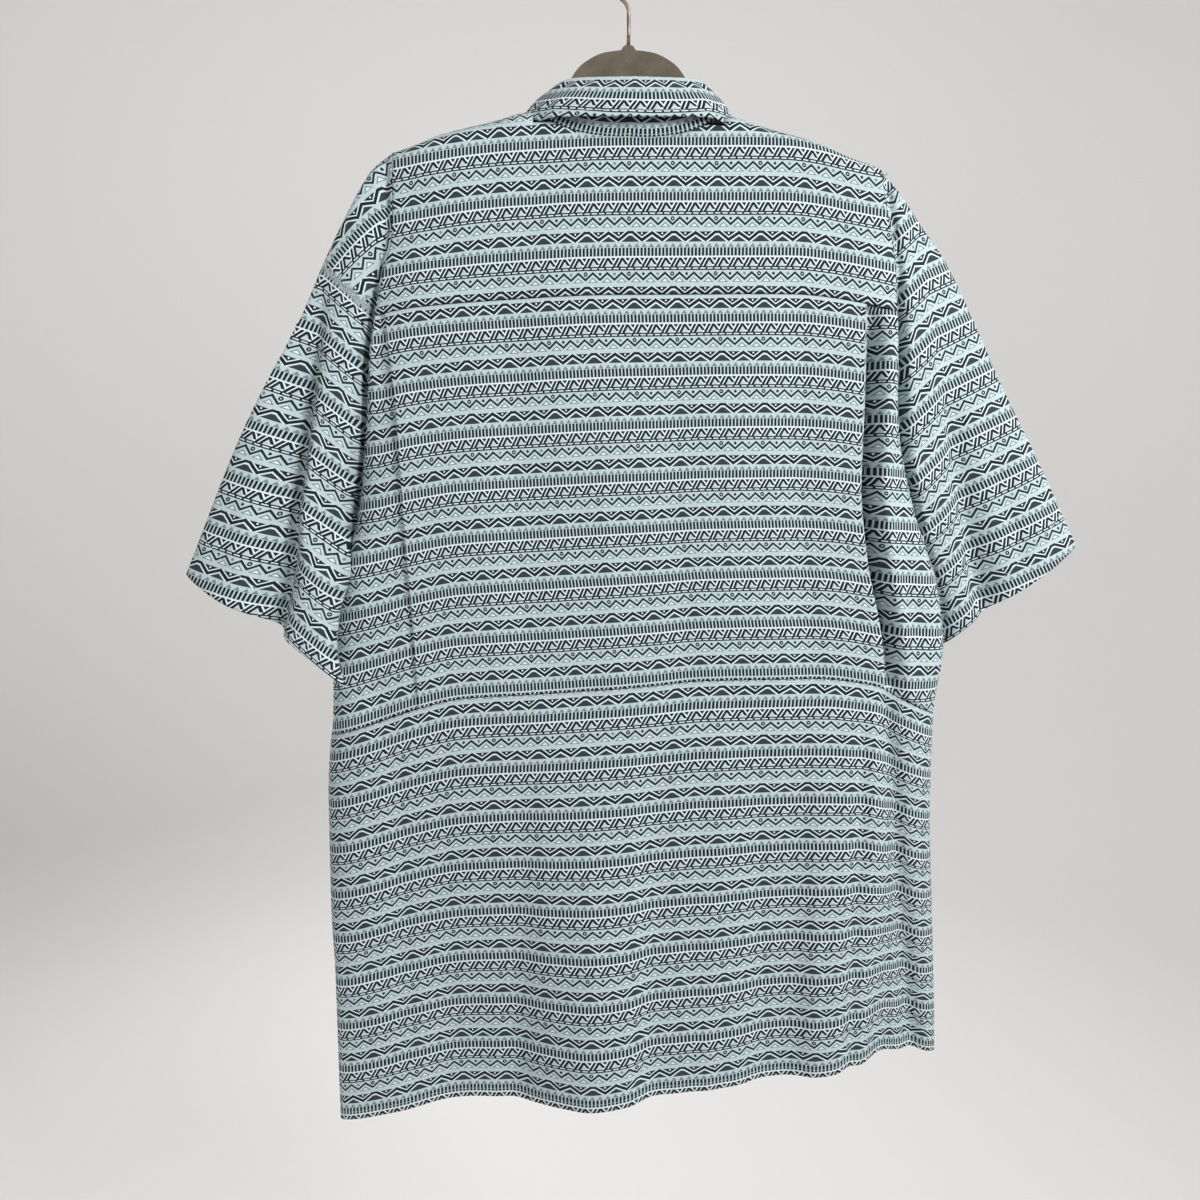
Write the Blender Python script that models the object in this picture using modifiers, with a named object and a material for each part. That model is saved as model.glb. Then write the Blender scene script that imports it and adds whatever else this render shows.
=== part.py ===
"""A big short-sleeved button-up shirt hanging on a slim flocked hanger.

The hook hangs from the origin and every height is given as a drop below it. The back faces -Y, the
front faces +Y, and the wearer's left is at -X. Each cut piece of cloth is a wall of its own.
"""
import math
from bisect import bisect_right

import bpy
from mathutils import Vector

CLOTH = 0.0012              # thickness of every cloth wall
SEAM_GAP = 0.0003           # between two pieces sewn edge to edge
CURVED_SEAM_GAP = 0.0007    # across the curved seams of yoke and waist, whose columns differ
ARMHOLE_GAP = 0.0020        # between body and sleeve, where the cloth turns
ARMPIT_GAP = 0.0035         # added to it at the armpit, where the sleeve turns sharply
NECK_HALF_WIDTH = 0.080
NECK_BACK_DROP = 0.028      # below the shoulder line at the middle of the back
NECK_FRONT_DROP = 0.101     # below the shoulder line at the middle of the front
YOKE_FRONT_DROP = 0.045     # of the seam between yoke and fronts, below the shoulder line
BACK_ROUND = 0.014          # radius of the cloth over the shoulder, behind
FRONT_ROUND = 0.016         # the same in front, with more near the neck
FRONT_ROUND_AT_NECK = 0.050
NECK_SPREAD = 0.090         # how far from the middle the neck pushes the fronts forward
TURN_RUN = 0.035            # how far in from each side the body starts to round
PLEAT_UNDERLAY = 0.016      # cloth hidden under each action pleat
PLEAT_PITCH = {"left": 0.0026, "right": 0.0036}   # from one layer of a pleat to the next
PLACKET_WIDTH = 0.032
BUTTON_RADIUS = 0.0058
BUTTON_THICKNESS = 0.0026
FRONT_BUTTON_DROPS = [0.290 + 0.110 * i for i in range(6)]

HOOK_WIRE_RADIUS = 0.0017
HOOK_INNER_RADIUS = 0.021
HANGER_CROWN_DROP = 0.0847
HANGER_THICKNESS = 0.0056
HANGER_HALF_LENGTH = 0.196
HANGER_EDGE_RADIUS = 0.0018
HANGER_CLEARANCE = 0.0012   # under the cloth at the shoulders
BOSS_HALF_WIDTH = 0.005
BOSS_TOP_DROP = 0.0812

CLOTH_COLOUR = (0.42, 0.52, 0.54)
BUTTON_COLOUR = (0.30, 0.34, 0.36)
FLOCK_COLOUR = (0.23, 0.20, 0.17)
HOOK_COLOUR = (0.45, 0.36, 0.28)


def table(names, rows):
    """Turns rows under named columns into one list for each column."""
    return {name: [row[i] for row in rows] for i, name in enumerate(names.split())}


# Half widths of the body: the armhole seams down to 0.52, the side seams below. The turn is how far
# the cloth has rounded from back to front at that edge, 90 degrees where back and front meet.
EDGE = table("drop left right turn", [
    (0.172, 0.1985, 0.2115, 20), (0.200, 0.1985, 0.2140, 26), (0.240, 0.2000, 0.2220, 32),
    (0.270, 0.2080, 0.2270, 36), (0.305, 0.2155, 0.2300, 40), (0.340, 0.2215, 0.2320, 45),
    (0.380, 0.2245, 0.2340, 51), (0.415, 0.2290, 0.2390, 59), (0.450, 0.2345, 0.2490, 69),
    (0.472, 0.2395, 0.2570, 78), (0.490, 0.2450, 0.2640, 90), (0.520, 0.2545, 0.2750, 90),
    (0.560, 0.2635, 0.2860, 90), (0.600, 0.2685, 0.2910, 90), (0.655, 0.2705, 0.2860, 90), (0.735, 0.2765, 0.2880, 90),
    (0.845, 0.2770, 0.2970, 90), (0.910, 0.2750, 0.3025, 90), (1.000, 0.2745, 0.3090, 90),
    (1.080, 0.2740, 0.3120, 90)])
ARMPIT_DROP = 0.490

# How far the back lies behind the hanger's plane and the front before it, and where the side seams lie.
DEPTH = table("drop back front_side front_middle left_seam right_seam", [
    (0.130, 0.018, 0.016, 0.072, 0.000, 0.000), (0.200, 0.025, 0.026, 0.084, 0.000, 0.000),
    (0.300, 0.030, 0.036, 0.080, 0.000, 0.000), (0.450, 0.034, 0.044, 0.068, 0.000, 0.000),
    (0.520, 0.035, 0.045, 0.064, 0.000, 0.000), (0.650, 0.036, 0.046, 0.058, -0.006, 0.004),
    (0.850, 0.037, 0.044, 0.052, -0.016, 0.009), (1.080, 0.037, 0.036, 0.040, -0.026, 0.012)])

SHOULDER = table("across drop", [
    (0.000, 0.1340), (0.085, 0.1380), (0.112, 0.1455), (0.161, 0.1585), (0.188, 0.1695),
    (0.213, 0.1770)])
SHOULDER_TILT = 0.020
YOKE_SEAM = table("across drop", [
    (-0.2155, 0.3065), (-0.178, 0.3007), (-0.096, 0.2941), (0.000, 0.2904), (0.137, 0.2900),
    (0.232, 0.3030)])
WAIST_SEAM = table("across drop", [
    (-0.2705, 0.6770), (-0.2266, 0.6627), (-0.1867, 0.6489), (-0.1472, 0.6397), (-0.0775, 0.6352),
    (0.0223, 0.6279), (0.0722, 0.6233), (0.1718, 0.6215), (0.2201, 0.6275), (0.2449, 0.6400),
    (0.2860, 0.6600)])
BACK_HEM = table("across drop", [
    (-0.274, 1.056), (-0.150, 1.040), (0.000, 1.0285), (0.150, 1.0175), (0.258, 1.004),
    (0.312, 1.010)])
FRONT_HEM = table("across drop", [
    (-0.274, 1.056), (-0.150, 1.073), (0.050, 1.068), (0.180, 1.045), (0.250, 1.022),
    (0.312, 1.010)])

# Where the back's hem lies in depth: ridges stand towards -Y and troughs towards +Y.
BACK_HEM_WAVE = table("across depth", [
    (-0.274, -0.033), (-0.220, -0.028), (-0.165, -0.016), (-0.115, -0.022), (-0.060, -0.044),
    (-0.029, -0.053), (0.000, -0.049), (0.026, -0.036), (0.050, -0.033), (0.100, -0.028), (0.152, -0.017),
    (0.195, -0.028), (0.225, -0.020), (0.258, 0.004), (0.312, 0.006)])
FRONT_HEM_WAVE = table("across depth", [
    (-0.274, 0.010), (-0.215, 0.030), (-0.150, 0.046), (-0.095, 0.034), (-0.030, 0.042),
    (0.035, 0.046), (0.095, 0.036), (0.155, 0.050), (0.210, 0.040), (0.312, 0.034)])
# Rows of the mesh from top to bottom, as shares, closer together round the armpit.
UPPER_BACK_ROWS = [0, 0.10, 0.20, 0.30, 0.38, 0.45, 0.51, 0.56, 0.60, 0.65, 0.73, 0.82, 0.91, 1]
FRONT_ROWS = [0, 0.03, 0.07, 0.11, 0.15, 0.19, 0.23, 0.27, 0.30, 0.325, 0.345, 0.36, 0.38, 0.41, 0.45,
              0.50, 0.56, 0.62, 0.68, 0.74, 0.80, 0.86, 0.91, 0.96, 1]
WAVE_START_DROP = 0.60
WAVE_FULL_DROP = 1.04

PLEAT = table("drop left right", [
    (0.290, 0.2085, 0.2025), (0.343, 0.2038, 0.2030), (0.381, 0.1999, 0.2030),
    (0.446, 0.1965, 0.2023), (0.518, 0.1930, 0.2104), (0.560, 0.1900, 0.2200),
    (0.594, 0.1885, 0.2267), (0.640, 0.1864, 0.2310)])

# Creases pressed into the cloth, each from its top to its bottom end. Depth is towards the inside.
CREASE_COLUMNS = "x_top drop_top x_bottom drop_bottom half_width depth_top depth_bottom"
BACK_CREASES = table(CREASE_COLUMNS, [
    (0.213, 0.645, 0.216, 1.000, 0.008, 0.003, 0.005),
    (0.231, 0.640, 0.284, 0.990, 0.009, 0.008, 0.011),
    (-0.140, 0.760, -0.235, 0.900, 0.022, 0.000, 0.004)])
FRONT_CREASES = table(CREASE_COLUMNS, [
    (-0.150, 0.360, -0.120, 0.620, 0.022, 0.003, 0.006),
    (0.165, 0.400, 0.130, 0.700, 0.025, 0.003, 0.006),
    (-0.205, 0.560, -0.180, 0.840, 0.018, 0.002, 0.007),
    (0.215, 0.600, 0.205, 0.900, 0.018, 0.002, 0.007)])
SLEEVE_CREASES = {
    "left": table(CREASE_COLUMNS, [
        (-0.257, 0.370, -0.297, 0.575, 0.014, 0.004, 0.015),
        (-0.225, 0.260, -0.245, 0.470, 0.012, 0.003, 0.005)]),
    "right": table(CREASE_COLUMNS, [
        (0.283, 0.370, 0.331, 0.560, 0.014, 0.003, 0.011),
        (0.238, 0.250, 0.262, 0.420, 0.012, 0.003, 0.005)])}

# Sleeves from armhole to cuff: the outer fold, the underarm fold, and the depth of the flat tube.
SLEEVE_COLUMNS = "along outer outer_drop inner inner_drop middle_depth half_depth"
SLEEVE = {
    "left": table(SLEEVE_COLUMNS, [
        (0.00, 0.1990, 0.1700, 0.2500, 0.4935, 0.000, 0.016),
        (0.08, 0.2165, 0.1850, 0.2550, 0.5040, -0.004, 0.017),
        (0.14, 0.2300, 0.2070, 0.2590, 0.5140, -0.009, 0.018),
        (0.28, 0.2555, 0.2560, 0.2665, 0.5400, -0.018, 0.018),
        (0.45, 0.2810, 0.3170, 0.2708, 0.5670, -0.028, 0.017),
        (0.62, 0.3085, 0.3730, 0.2712, 0.5910, -0.036, 0.016),
        (0.80, 0.3420, 0.4400, 0.2690, 0.6115, -0.041, 0.016),
        (1.00, 0.3805, 0.5260, 0.2630, 0.6300, -0.045, 0.016)]),
    "right": table(SLEEVE_COLUMNS, [
        (0.00, 0.2120, 0.1800, 0.2690, 0.4935, 0.000, 0.016),
        (0.08, 0.2305, 0.1980, 0.2750, 0.5040, 0.004, 0.017),
        (0.14, 0.2470, 0.2150, 0.2800, 0.5130, 0.009, 0.018),
        (0.28, 0.2820, 0.2540, 0.2890, 0.5320, 0.016, 0.019),
        (0.45, 0.3110, 0.3020, 0.2950, 0.5500, 0.022, 0.019),
        (0.62, 0.3420, 0.3620, 0.2990, 0.5680, 0.025, 0.018),
        (0.80, 0.3790, 0.4260, 0.3010, 0.5870, 0.026, 0.018),
        (1.00, 0.4215, 0.5060, 0.3020, 0.6050, 0.026, 0.018)])}
SLEEVE_BLEND = 0.35         # share of the sleeve over which the armhole's shape fades
CUFF_LIFT = {"left": 0.018, "right": 0.008}   # how much the cuff bends up at its crease
CUFF_LIFT_SPREAD = 0.040
CUFF_TUCK = {"left": 0.0105, "right": 0.0}    # how far the cuff's inner end lies over the body

# The collar, turned about the neck from 0 at the middle of the back to 180 degrees at the front.
FOLD = table("angle half_width depth drop", [
    (0, 0.0570, -0.0150, 0.1135), (45, 0.0570, -0.0110, 0.1135), (90, 0.0580, 0.0020, 0.1140),
    (120, 0.0560, 0.0260, 0.1300), (150, 0.0530, 0.0560, 0.1650), (180, 0.0520, 0.0800, 0.1980)])
LEAF_EDGE = table("angle across depth drop", [
    (0, 0.000, -0.0310, 0.1490), (45, 0.064, -0.0260, 0.1440), (90, 0.0890, 0.0040, 0.1310),
    (120, 0.0900, 0.0440, 0.1560), (150, 0.0780, 0.0840, 0.2080), (180, 0.0480, 0.1120, 0.2640)])
FLAT_COLUMNS = 5            # of mesh between the neck and the turn at the armhole
OUTER_COLUMNS = 9           # with those round the turn
COLLAR_CENTRE = 0.005       # the collar hangs this far right of the hook at the back
LEAF_INNER_LEG = 0.006      # from the seam with the stand up to the fold
LEAF_FOLD_RADIUS = 0.0020
STAND_OVERLAP_ANGLE = 9.0   # how far each end of the stand runs past the middle of the front
STAND_LAP = 0.0030          # how far out its upper end lies


def read(columns, name, at):
    """Reads a smooth curve through a table's first column and the named one, with no overshoot."""
    keys = next(iter(columns.values()))
    values = columns[name]
    at = min(max(at, keys[0]), keys[-1])
    i = min(max(bisect_right(keys, at) - 1, 0), len(keys) - 2)

    def slope(k):
        return (values[k + 1] - values[k]) / (keys[k + 1] - keys[k])

    def tangent(k):
        if k in (0, len(keys) - 1):
            return slope(min(k, len(keys) - 2))
        before, after = slope(k - 1), slope(k)
        return 0.0 if before * after <= 0 else 2 * before * after / (before + after)

    span = keys[i + 1] - keys[i]
    t = (at - keys[i]) / span
    return ((2 * t ** 3 - 3 * t ** 2 + 1) * values[i] + (t ** 3 - 2 * t ** 2 + t) * span * tangent(i)
            + (3 * t ** 2 - 2 * t ** 3) * values[i + 1] + (t ** 3 - t ** 2) * span * tangent(i + 1))


def mix(a, b, share):
    return a + (b - a) * share


def ease(value):
    """Rises softly from 0 to 1."""
    value = min(max(value, 0.0), 1.0)
    return value * value * (3 - 2 * value)


def shoulder_drop(x):
    """The shoulder line, a little higher on the left, where it hangs off the hanger's arms."""
    return read(SHOULDER, "drop", abs(x)) + SHOULDER_TILT * x


def crease_depth(x, drop, creases):
    """How far the creases press the cloth in at one place, faded at both ends of each."""
    total = 0.0
    for x0, d0, x1, d1, half_width, depth_top, depth_bottom in zip(*creases.values()):
        share = (drop - d0) / (d1 - d0)
        off_line = (x - mix(x0, x1, share)) / half_width
        fade = ease((share + 0.15) / 0.3) * ease((1.2 - share) / 0.2)
        total += mix(depth_top, depth_bottom, min(max(share, 0), 1)) * math.exp(-off_line ** 2) * fade
    return total


def body_depth(x, drop, face):
    """Where the body's cloth lies in depth, for its back (face -1) or its front (face 1)."""
    side = "left" if x < 0 else "right"
    edge = read(EDGE, side, drop)
    reach = min(max((abs(x) - edge + TURN_RUN) / TURN_RUN, 0.0), 1.0)
    rounding = math.sqrt(max(1 - (reach * math.sin(math.radians(read(EDGE, "turn", drop)))) ** 2, 0))
    seam = mix(read(DEPTH, "left_seam", drop), read(DEPTH, "right_seam", drop), 0.5 + x / (2 * edge))
    wave = ease((drop - WAVE_START_DROP) / (WAVE_FULL_DROP - WAVE_START_DROP))
    if face < 0:
        radius = BACK_ROUND
        flat = -read(DEPTH, "back", drop)
        profile = mix(flat, read(BACK_HEM_WAVE, "depth", x), wave) + crease_depth(x, drop, BACK_CREASES)
    else:
        near_neck = math.exp(-(x / NECK_SPREAD) ** 2)
        radius = FRONT_ROUND + FRONT_ROUND_AT_NECK * near_neck
        flat = mix(read(DEPTH, "front_side", drop), read(DEPTH, "front_middle", drop), near_neck)
        profile = mix(flat, read(FRONT_HEM_WAVE, "depth", x), wave) - crease_depth(x, drop, FRONT_CREASES)
    down = min(max((drop - shoulder_drop(x)) / radius, 0.0), 1.0)
    crown = math.sqrt(1 - (1 - down) ** 2)
    return seam + crown * rounding * (profile - seam) + face * SEAM_GAP * reach


def body_point(x, drop, face, inward=0.0):
    """A place on the body's cloth, moved inward where it lies under another layer."""
    return Vector((x, body_depth(x, drop, face) - face * inward, -drop))


def across_from_edge(side, drop, share):
    """Distance from the middle, evenly spaced round the turn: share 0 at its start, 1 at the edge."""
    edge = read(EDGE, side, drop)
    turn = math.radians(read(EDGE, "turn", drop))
    return edge - TURN_RUN + TURN_RUN * math.sin(share * turn) / math.sin(turn)


def outer_column(side, number, drop, inner):
    """Distance from the middle of columns 1 to OUTER_COLUMNS, from the neck hole to the edge."""
    if number <= FLAT_COLUMNS:
        return mix(inner, read(EDGE, side, drop) - TURN_RUN, number / FLAT_COLUMNS)
    return across_from_edge(side, drop, (number - FLAT_COLUMNS) / (OUTER_COLUMNS - FLAT_COLUMNS))


def settle(find_x, top, bottom, share):
    """Finds the place of a column in a row between two seams that both change across the cloth."""
    drop = mix(top(0.0), bottom(0.0), share)
    for _ in range(6):
        x = find_x(drop)
        drop = mix(top(x), bottom(x), share)
    return x, drop


def finish(name, colour, mesh, roughness=0.85, metallic=0.0):
    """Makes one named object with its own material from a mesh."""
    piece = bpy.data.objects.new(name, mesh)
    material = bpy.data.materials.new(name)
    material.use_nodes = True
    shader = material.node_tree.nodes["Principled BSDF"]
    shader.inputs["Base Color"].default_value = (*colour, 1)
    shader.inputs["Roughness"].default_value = roughness
    shader.inputs["Metallic"].default_value = metallic
    piece.data.materials.append(material)
    shirt.objects.link(piece)
    return piece


def cloth_sheet(name, rows, outward, ring=False, skip=lambda row, column: False):
    """Skins rows of points as one sheet and thickens it to a cloth wall. The outward hint is a
    direction that the first face has to look along."""
    count = len(rows[0])
    points = [p for row in rows for p in row]
    faces = []
    for i in range(len(rows) - 1):
        for j in range(count if ring else count - 1):
            if not skip(i, j):
                k = (j + 1) % count
                faces.append((i * count + j, i * count + k, (i + 1) * count + k, (i + 1) * count + j))
    a, b, c, _ = (Vector(points[v]) for v in faces[0])
    if (b - a).cross(c - a).dot(Vector(outward)) < 0:
        faces = [tuple(reversed(f)) for f in faces]
    mesh = bpy.data.meshes.new(name)
    mesh.from_pydata(points, [], faces)
    used = {v for f in faces for v in f}
    if len(used) < len(points):
        drop_loose_points(mesh, used)
    mesh.shade_smooth()
    piece = finish(name, CLOTH_COLOUR, mesh)
    wall = piece.modifiers.new("cloth wall", "SOLIDIFY")
    wall.thickness = CLOTH
    wall.offset = 0
    wall.use_even_offset = True
    return piece


def drop_loose_points(mesh, used):
    """Rebuilds a mesh without the points that no face uses."""
    order = {v: i for i, v in enumerate(sorted(used))}
    points = [tuple(mesh.vertices[v].co) for v in order]
    faces = [tuple(order[v] for v in f.vertices) for f in mesh.polygons]
    mesh.clear_geometry()
    mesh.from_pydata(points, [], faces)


def neck_back_drop(x):
    """The neck seam behind, between the two shoulder points."""
    share = min(abs(x) / NECK_HALF_WIDTH, 1.0)
    return shoulder_drop(x) + NECK_BACK_DROP * (1 - share ** 2.4) ** 0.8


def neck_front_drop(x):
    """The neck seam in front."""
    share = min(abs(x) / NECK_HALF_WIDTH, 1.0)
    return shoulder_drop(x) + NECK_FRONT_DROP * math.sqrt(1 - share ** 2)


def neck_half_width(down):
    """Half width of the neck hole at a depth below the shoulder line, in front."""
    return NECK_HALF_WIDTH * math.sqrt(max(1 - (down / NECK_FRONT_DROP) ** 2, 0))


def make_yoke():
    """One piece over both shoulders, with the neck cut out of it."""
    back_rows, crown_rows, front_rows = 5, 4, 3
    middle = [NECK_HALF_WIDTH * math.sin(math.radians(a)) for a in range(-90, 91, 15)]
    neck_from, neck_to = OUTER_COLUMNS, OUTER_COLUMNS + len(middle) - 1

    def column_x(column, drop, inner):
        if neck_from <= column <= neck_to:
            return middle[column - neck_from] * inner / NECK_HALF_WIDTH
        if column < neck_from:
            return -outer_column("left", neck_from - column, drop, inner)
        return outer_column("right", column - neck_to, drop, inner)

    columns = 2 * OUTER_COLUMNS + len(middle)
    rows = []
    for i in range(back_rows):
        row = []
        for j in range(columns):
            def find_x(drop, j=j):
                return column_x(j, drop, NECK_HALF_WIDTH)

            def top(x):
                return read(YOKE_SEAM, "drop", x) - CURVED_SEAM_GAP / 2

            def bottom(x):
                return max(neck_back_drop(x), shoulder_drop(x) + BACK_ROUND)

            x, drop = settle(find_x, top, bottom, i / back_rows)
            row.append(body_point(x, drop, -1))
        rows.append(row)
    for i in range(crown_rows + 1):
        row = []
        for j in range(columns):
            x = column_x(j, read(SHOULDER, "drop", 0.2), NECK_HALF_WIDTH)
            for _ in range(3):
                shoulder = shoulder_drop(x)
                down = BACK_ROUND * (1 - math.sin(i / crown_rows * math.pi / 2))
                drop = max(shoulder + down, neck_back_drop(x)) if abs(x) < NECK_HALF_WIDTH else shoulder + down
                x = column_x(j, drop, NECK_HALF_WIDTH)
            row.append(body_point(x, drop, -1))
        rows.append(row)
    for i in range(1, front_rows + 3):
        share = (i / (front_rows + 2)) ** 1.5
        row = []
        for j in range(columns):
            down = (YOKE_FRONT_DROP - SEAM_GAP / 2) * share
            inner = neck_half_width(down)
            x = column_x(j, read(SHOULDER, "drop", 0.2), inner)
            for _ in range(3):
                drop = shoulder_drop(x) + down
                x = column_x(j, drop, inner)
            row.append(body_point(x, drop, 1))
        rows.append(row)

    def skip(i, j):
        if not neck_from <= j < neck_to:
            return False
        return i >= back_rows

    return cloth_sheet("yoke", rows, (0, -1, 0), skip=skip)


def make_upper_back():
    """From the yoke seam to the waist seam, folded into an action pleat near each armhole."""
    arc_steps = 4
    middle_shares = [0.028] + [k / 18 for k in range(1, 18)] + [0.972]

    def half_columns(side):
        """Columns from the edge to the pleat's folded edge, as (distance from middle, layer) rules."""
        pitch = PLEAT_PITCH[side]
        radius = pitch / 2
        rules = []
        for share in (1.0, 0.62, 0.30):
            rules.append(lambda drop, s=share: (across_from_edge(side, drop, s) if s == 1.0 else
                                                mix(read(PLEAT, side, drop) + 0.003,
                                                    read(EDGE, side, drop), s), 2.0 * s_fade(s)))
        rules.append(lambda drop: (read(PLEAT, side, drop) + 0.002, 2.0))
        rules.append(lambda drop: (read(PLEAT, side, drop) - PLEAT_UNDERLAY * 0.5, 2.0))
        for k in range(arc_steps + 1):
            angle = math.pi * k / arc_steps
            rules.append(lambda drop, a=angle: (read(PLEAT, side, drop) - PLEAT_UNDERLAY + radius
                                                - radius * math.sin(a), 1.5 + 0.5 * math.cos(a)))
        rules.append(lambda drop: (read(PLEAT, side, drop) - PLEAT_UNDERLAY * 0.5, 1.0))
        for k in range(arc_steps + 1):
            angle = math.pi * k / arc_steps
            rules.append(lambda drop, a=angle: (read(PLEAT, side, drop) - radius
                                                + radius * math.sin(a), 0.5 + 0.5 * math.cos(a)))
        return rules

    def s_fade(share):
        return 1 - ease((share - 0.3) / 0.7)

    def top(x):
        return read(YOKE_SEAM, "drop", x) + CURVED_SEAM_GAP / 2

    def bottom(x):
        return read(WAIST_SEAM, "drop", x) - CURVED_SEAM_GAP / 2

    left, right = half_columns("left"), half_columns("right")
    rows = []
    for share in UPPER_BACK_ROWS:
        row = []
        for rule in left:
            x, drop = settle(lambda d: -rule(d)[0], top, bottom, share)
            row.append(body_point(x, drop, -1, rule(drop)[1] * PLEAT_PITCH["left"]))
        for column in middle_shares:
            def find_x(drop, s=column):
                return mix(-read(PLEAT, "left", drop), read(PLEAT, "right", drop), s)

            x, drop = settle(find_x, top, bottom, share)
            row.append(body_point(x, drop, -1))
        for rule in reversed(right):
            x, drop = settle(lambda d: rule(d)[0], top, bottom, share)
            row.append(body_point(x, drop, -1, rule(drop)[1] * PLEAT_PITCH["right"]))
        rows.append(row)
    return cloth_sheet("upper_back", rows, (-1, -1, 0))


def edge_shares(inner_count, turn_count):
    """Column rules from the left edge to the right one, closer together round each turn."""
    turns = [k / turn_count for k in range(turn_count, 0, -1)]
    rules = [lambda drop, s=s: -across_from_edge("left", drop, s) for s in turns]
    for k in range(inner_count + 1):
        rules.append(lambda drop, s=k / inner_count: mix(-read(EDGE, "left", drop) + TURN_RUN,
                                                         read(EDGE, "right", drop) - TURN_RUN, s))
    rules += [lambda drop, s=s: across_from_edge("right", drop, s) for s in reversed(turns)]
    return rules


def make_lower_back():
    """From the waist seam to the hem, where the back's folds open out."""
    rows = []
    row_count = 13
    for i in range(row_count + 1):
        row = []
        for rule in edge_shares(28, 3):
            x, drop = settle(rule, lambda x: read(WAIST_SEAM, "drop", x) + CURVED_SEAM_GAP / 2,
                             lambda x: read(BACK_HEM, "drop", x), i / row_count)
            row.append(body_point(x, drop, -1))
        rows.append(row)
    return cloth_sheet("lower_back", rows, (-1, -1, 0))


def front_top(x):
    """Upper edge of a front: the neck seam near the middle, the yoke's front seam beyond it."""
    shoulder = shoulder_drop(x)
    down = NECK_FRONT_DROP * math.sqrt(max(1 - (abs(x) / NECK_HALF_WIDTH) ** 2, 0))
    return shoulder + max(down, YOKE_FRONT_DROP) + SEAM_GAP / 2


def front_under(x):
    """The wearer's right front dives under the left one at the overlap."""
    return (CLOTH + SEAM_GAP * 2) * (1 - ease((x - PLACKET_WIDTH * 0.6) / 0.02))


def make_front(side):
    """One front, from its edge at the placket to the armhole and side seam."""
    sign = -1 if side == "left" else 1
    corner = neck_half_width(YOKE_FRONT_DROP)
    edge_x = -sign * PLACKET_WIDTH / 2
    rules = [lambda drop, s=s: mix(edge_x, sign * corner, s) for s in (0, 0.2, 0.4, 0.6, 0.8, 1.0)]
    for number in range(1, OUTER_COLUMNS + 1):
        rules.append(lambda drop, n=number: sign * outer_column(side, n, drop, corner))
    rows = []
    for share in FRONT_ROWS:
        row = []
        for rule in rules:
            x, drop = settle(rule, front_top, lambda x: read(FRONT_HEM, "drop", x), share)
            row.append(body_point(x, drop, 1, front_under(x) if side == "right" else 0.0))
        rows.append(row)
    return cloth_sheet(f"front_{side}", rows, (0, 1, 0))


def make_placket():
    """The band with the buttonholes, made from the left front's own points moved out."""
    lift = CLOTH + SEAM_GAP
    rows = []
    for share in FRONT_ROWS:
        row = []
        for k in range(5):
            x = mix(-PLACKET_WIDTH / 2, PLACKET_WIDTH / 2, k / 4)
            drop = mix(neck_front_drop(x) + 0.0016, read(FRONT_HEM, "drop", x) - 0.0005, share)
            row.append(body_point(x, drop, 1, -lift))
        rows.append(row)
    return cloth_sheet("placket", rows, (0, 1, 0))


def armhole_point(side, share, face):
    """A place on the armhole seam, from the shoulder (share 0) to the armpit (share 1)."""
    sign = -1 if side == "left" else 1
    drop = mix(shoulder_drop(sign * 0.205), ARMPIT_DROP, share)
    x = sign * read(EDGE, side, drop)
    point = body_point(x, drop, face)
    outward = Vector((sign, 0, -0.7 * ease((share - 0.78) / 0.15))).normalized()
    return point + outward * (ARMHOLE_GAP + ARMPIT_GAP * ease((share - 0.9) / 0.1))


def make_sleeve(side):
    """A set-in sleeve, hanging as a flattened tube from the armhole to the cuff."""
    sign = -1 if side == "left" else 1
    ring_count, row_count = 32, 13
    shape = SLEEVE[side]

    def hung_point(along, turn, face):
        outer = Vector((sign * read(shape, "outer", along), 0, -read(shape, "outer_drop", along)))
        inner = Vector((sign * read(shape, "inner", along), 0, -read(shape, "inner_drop", along)))
        flat = outer.lerp(inner, (1 - math.cos(turn)) / 2)
        bulge = read(shape, "half_depth", along) * abs(math.sin(turn)) ** 0.8
        depth = read(shape, "middle_depth", along) + face * bulge
        if face < 0:
            depth += crease_depth(flat.x, -flat.z, SLEEVE_CREASES[side]) * abs(math.sin(turn)) ** 0.5
        off_crease = (flat.x - SLEEVE_CREASES[side]["x_bottom"][0]) / CUFF_LIFT_SPREAD
        lift = CUFF_LIFT[side] * along ** 2 * math.exp(-off_crease ** 2)
        tuck = (CUFF_TUCK[side] * math.exp(-((abs(flat.x) - 0.263) / 0.020) ** 2)
                * ease((-flat.z - 0.520) / 0.080))
        return Vector((flat.x - sign * tuck, depth - tuck * 0.6, flat.z + lift))

    rows = []
    for i in range(row_count + 1):
        along = i / row_count
        row = []
        for j in range(ring_count):
            turn = 2 * math.pi * j / ring_count
            face = -1 if j <= ring_count / 2 else 1
            sewn = armhole_point(side, (1 - math.cos(turn)) / 2, face)
            held = (sewn - hung_point(0, turn, face)) * (1 - ease(along / SLEEVE_BLEND))
            row.append(hung_point(along, turn, face) + held)
        rows.append(row)
    return cloth_sheet(f"sleeve_{side}", rows, (0, -1, 0), ring=True)


def collar_frame(angle):
    """Neck seam and fold of the collar at one angle about the neck, negative on the left."""
    size = abs(angle)
    sign = -1 if angle < 0 else 1
    turn = math.radians(size)
    x = sign * NECK_HALF_WIDTH * math.sin(turn)
    if size <= 90:
        seam = body_point(x, neck_back_drop(x), -1)
    else:
        seam = body_point(x, neck_front_drop(x), 1)
    shift = COLLAR_CENTRE * (1 + math.cos(turn)) / 2
    fold = Vector((sign * read(FOLD, "half_width", size) * math.sin(turn) + shift,
                   read(FOLD, "depth", size), -read(FOLD, "drop", size)))
    outward = Vector((sign * math.sin(turn), -math.cos(turn), 0))
    return seam, fold, outward


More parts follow.
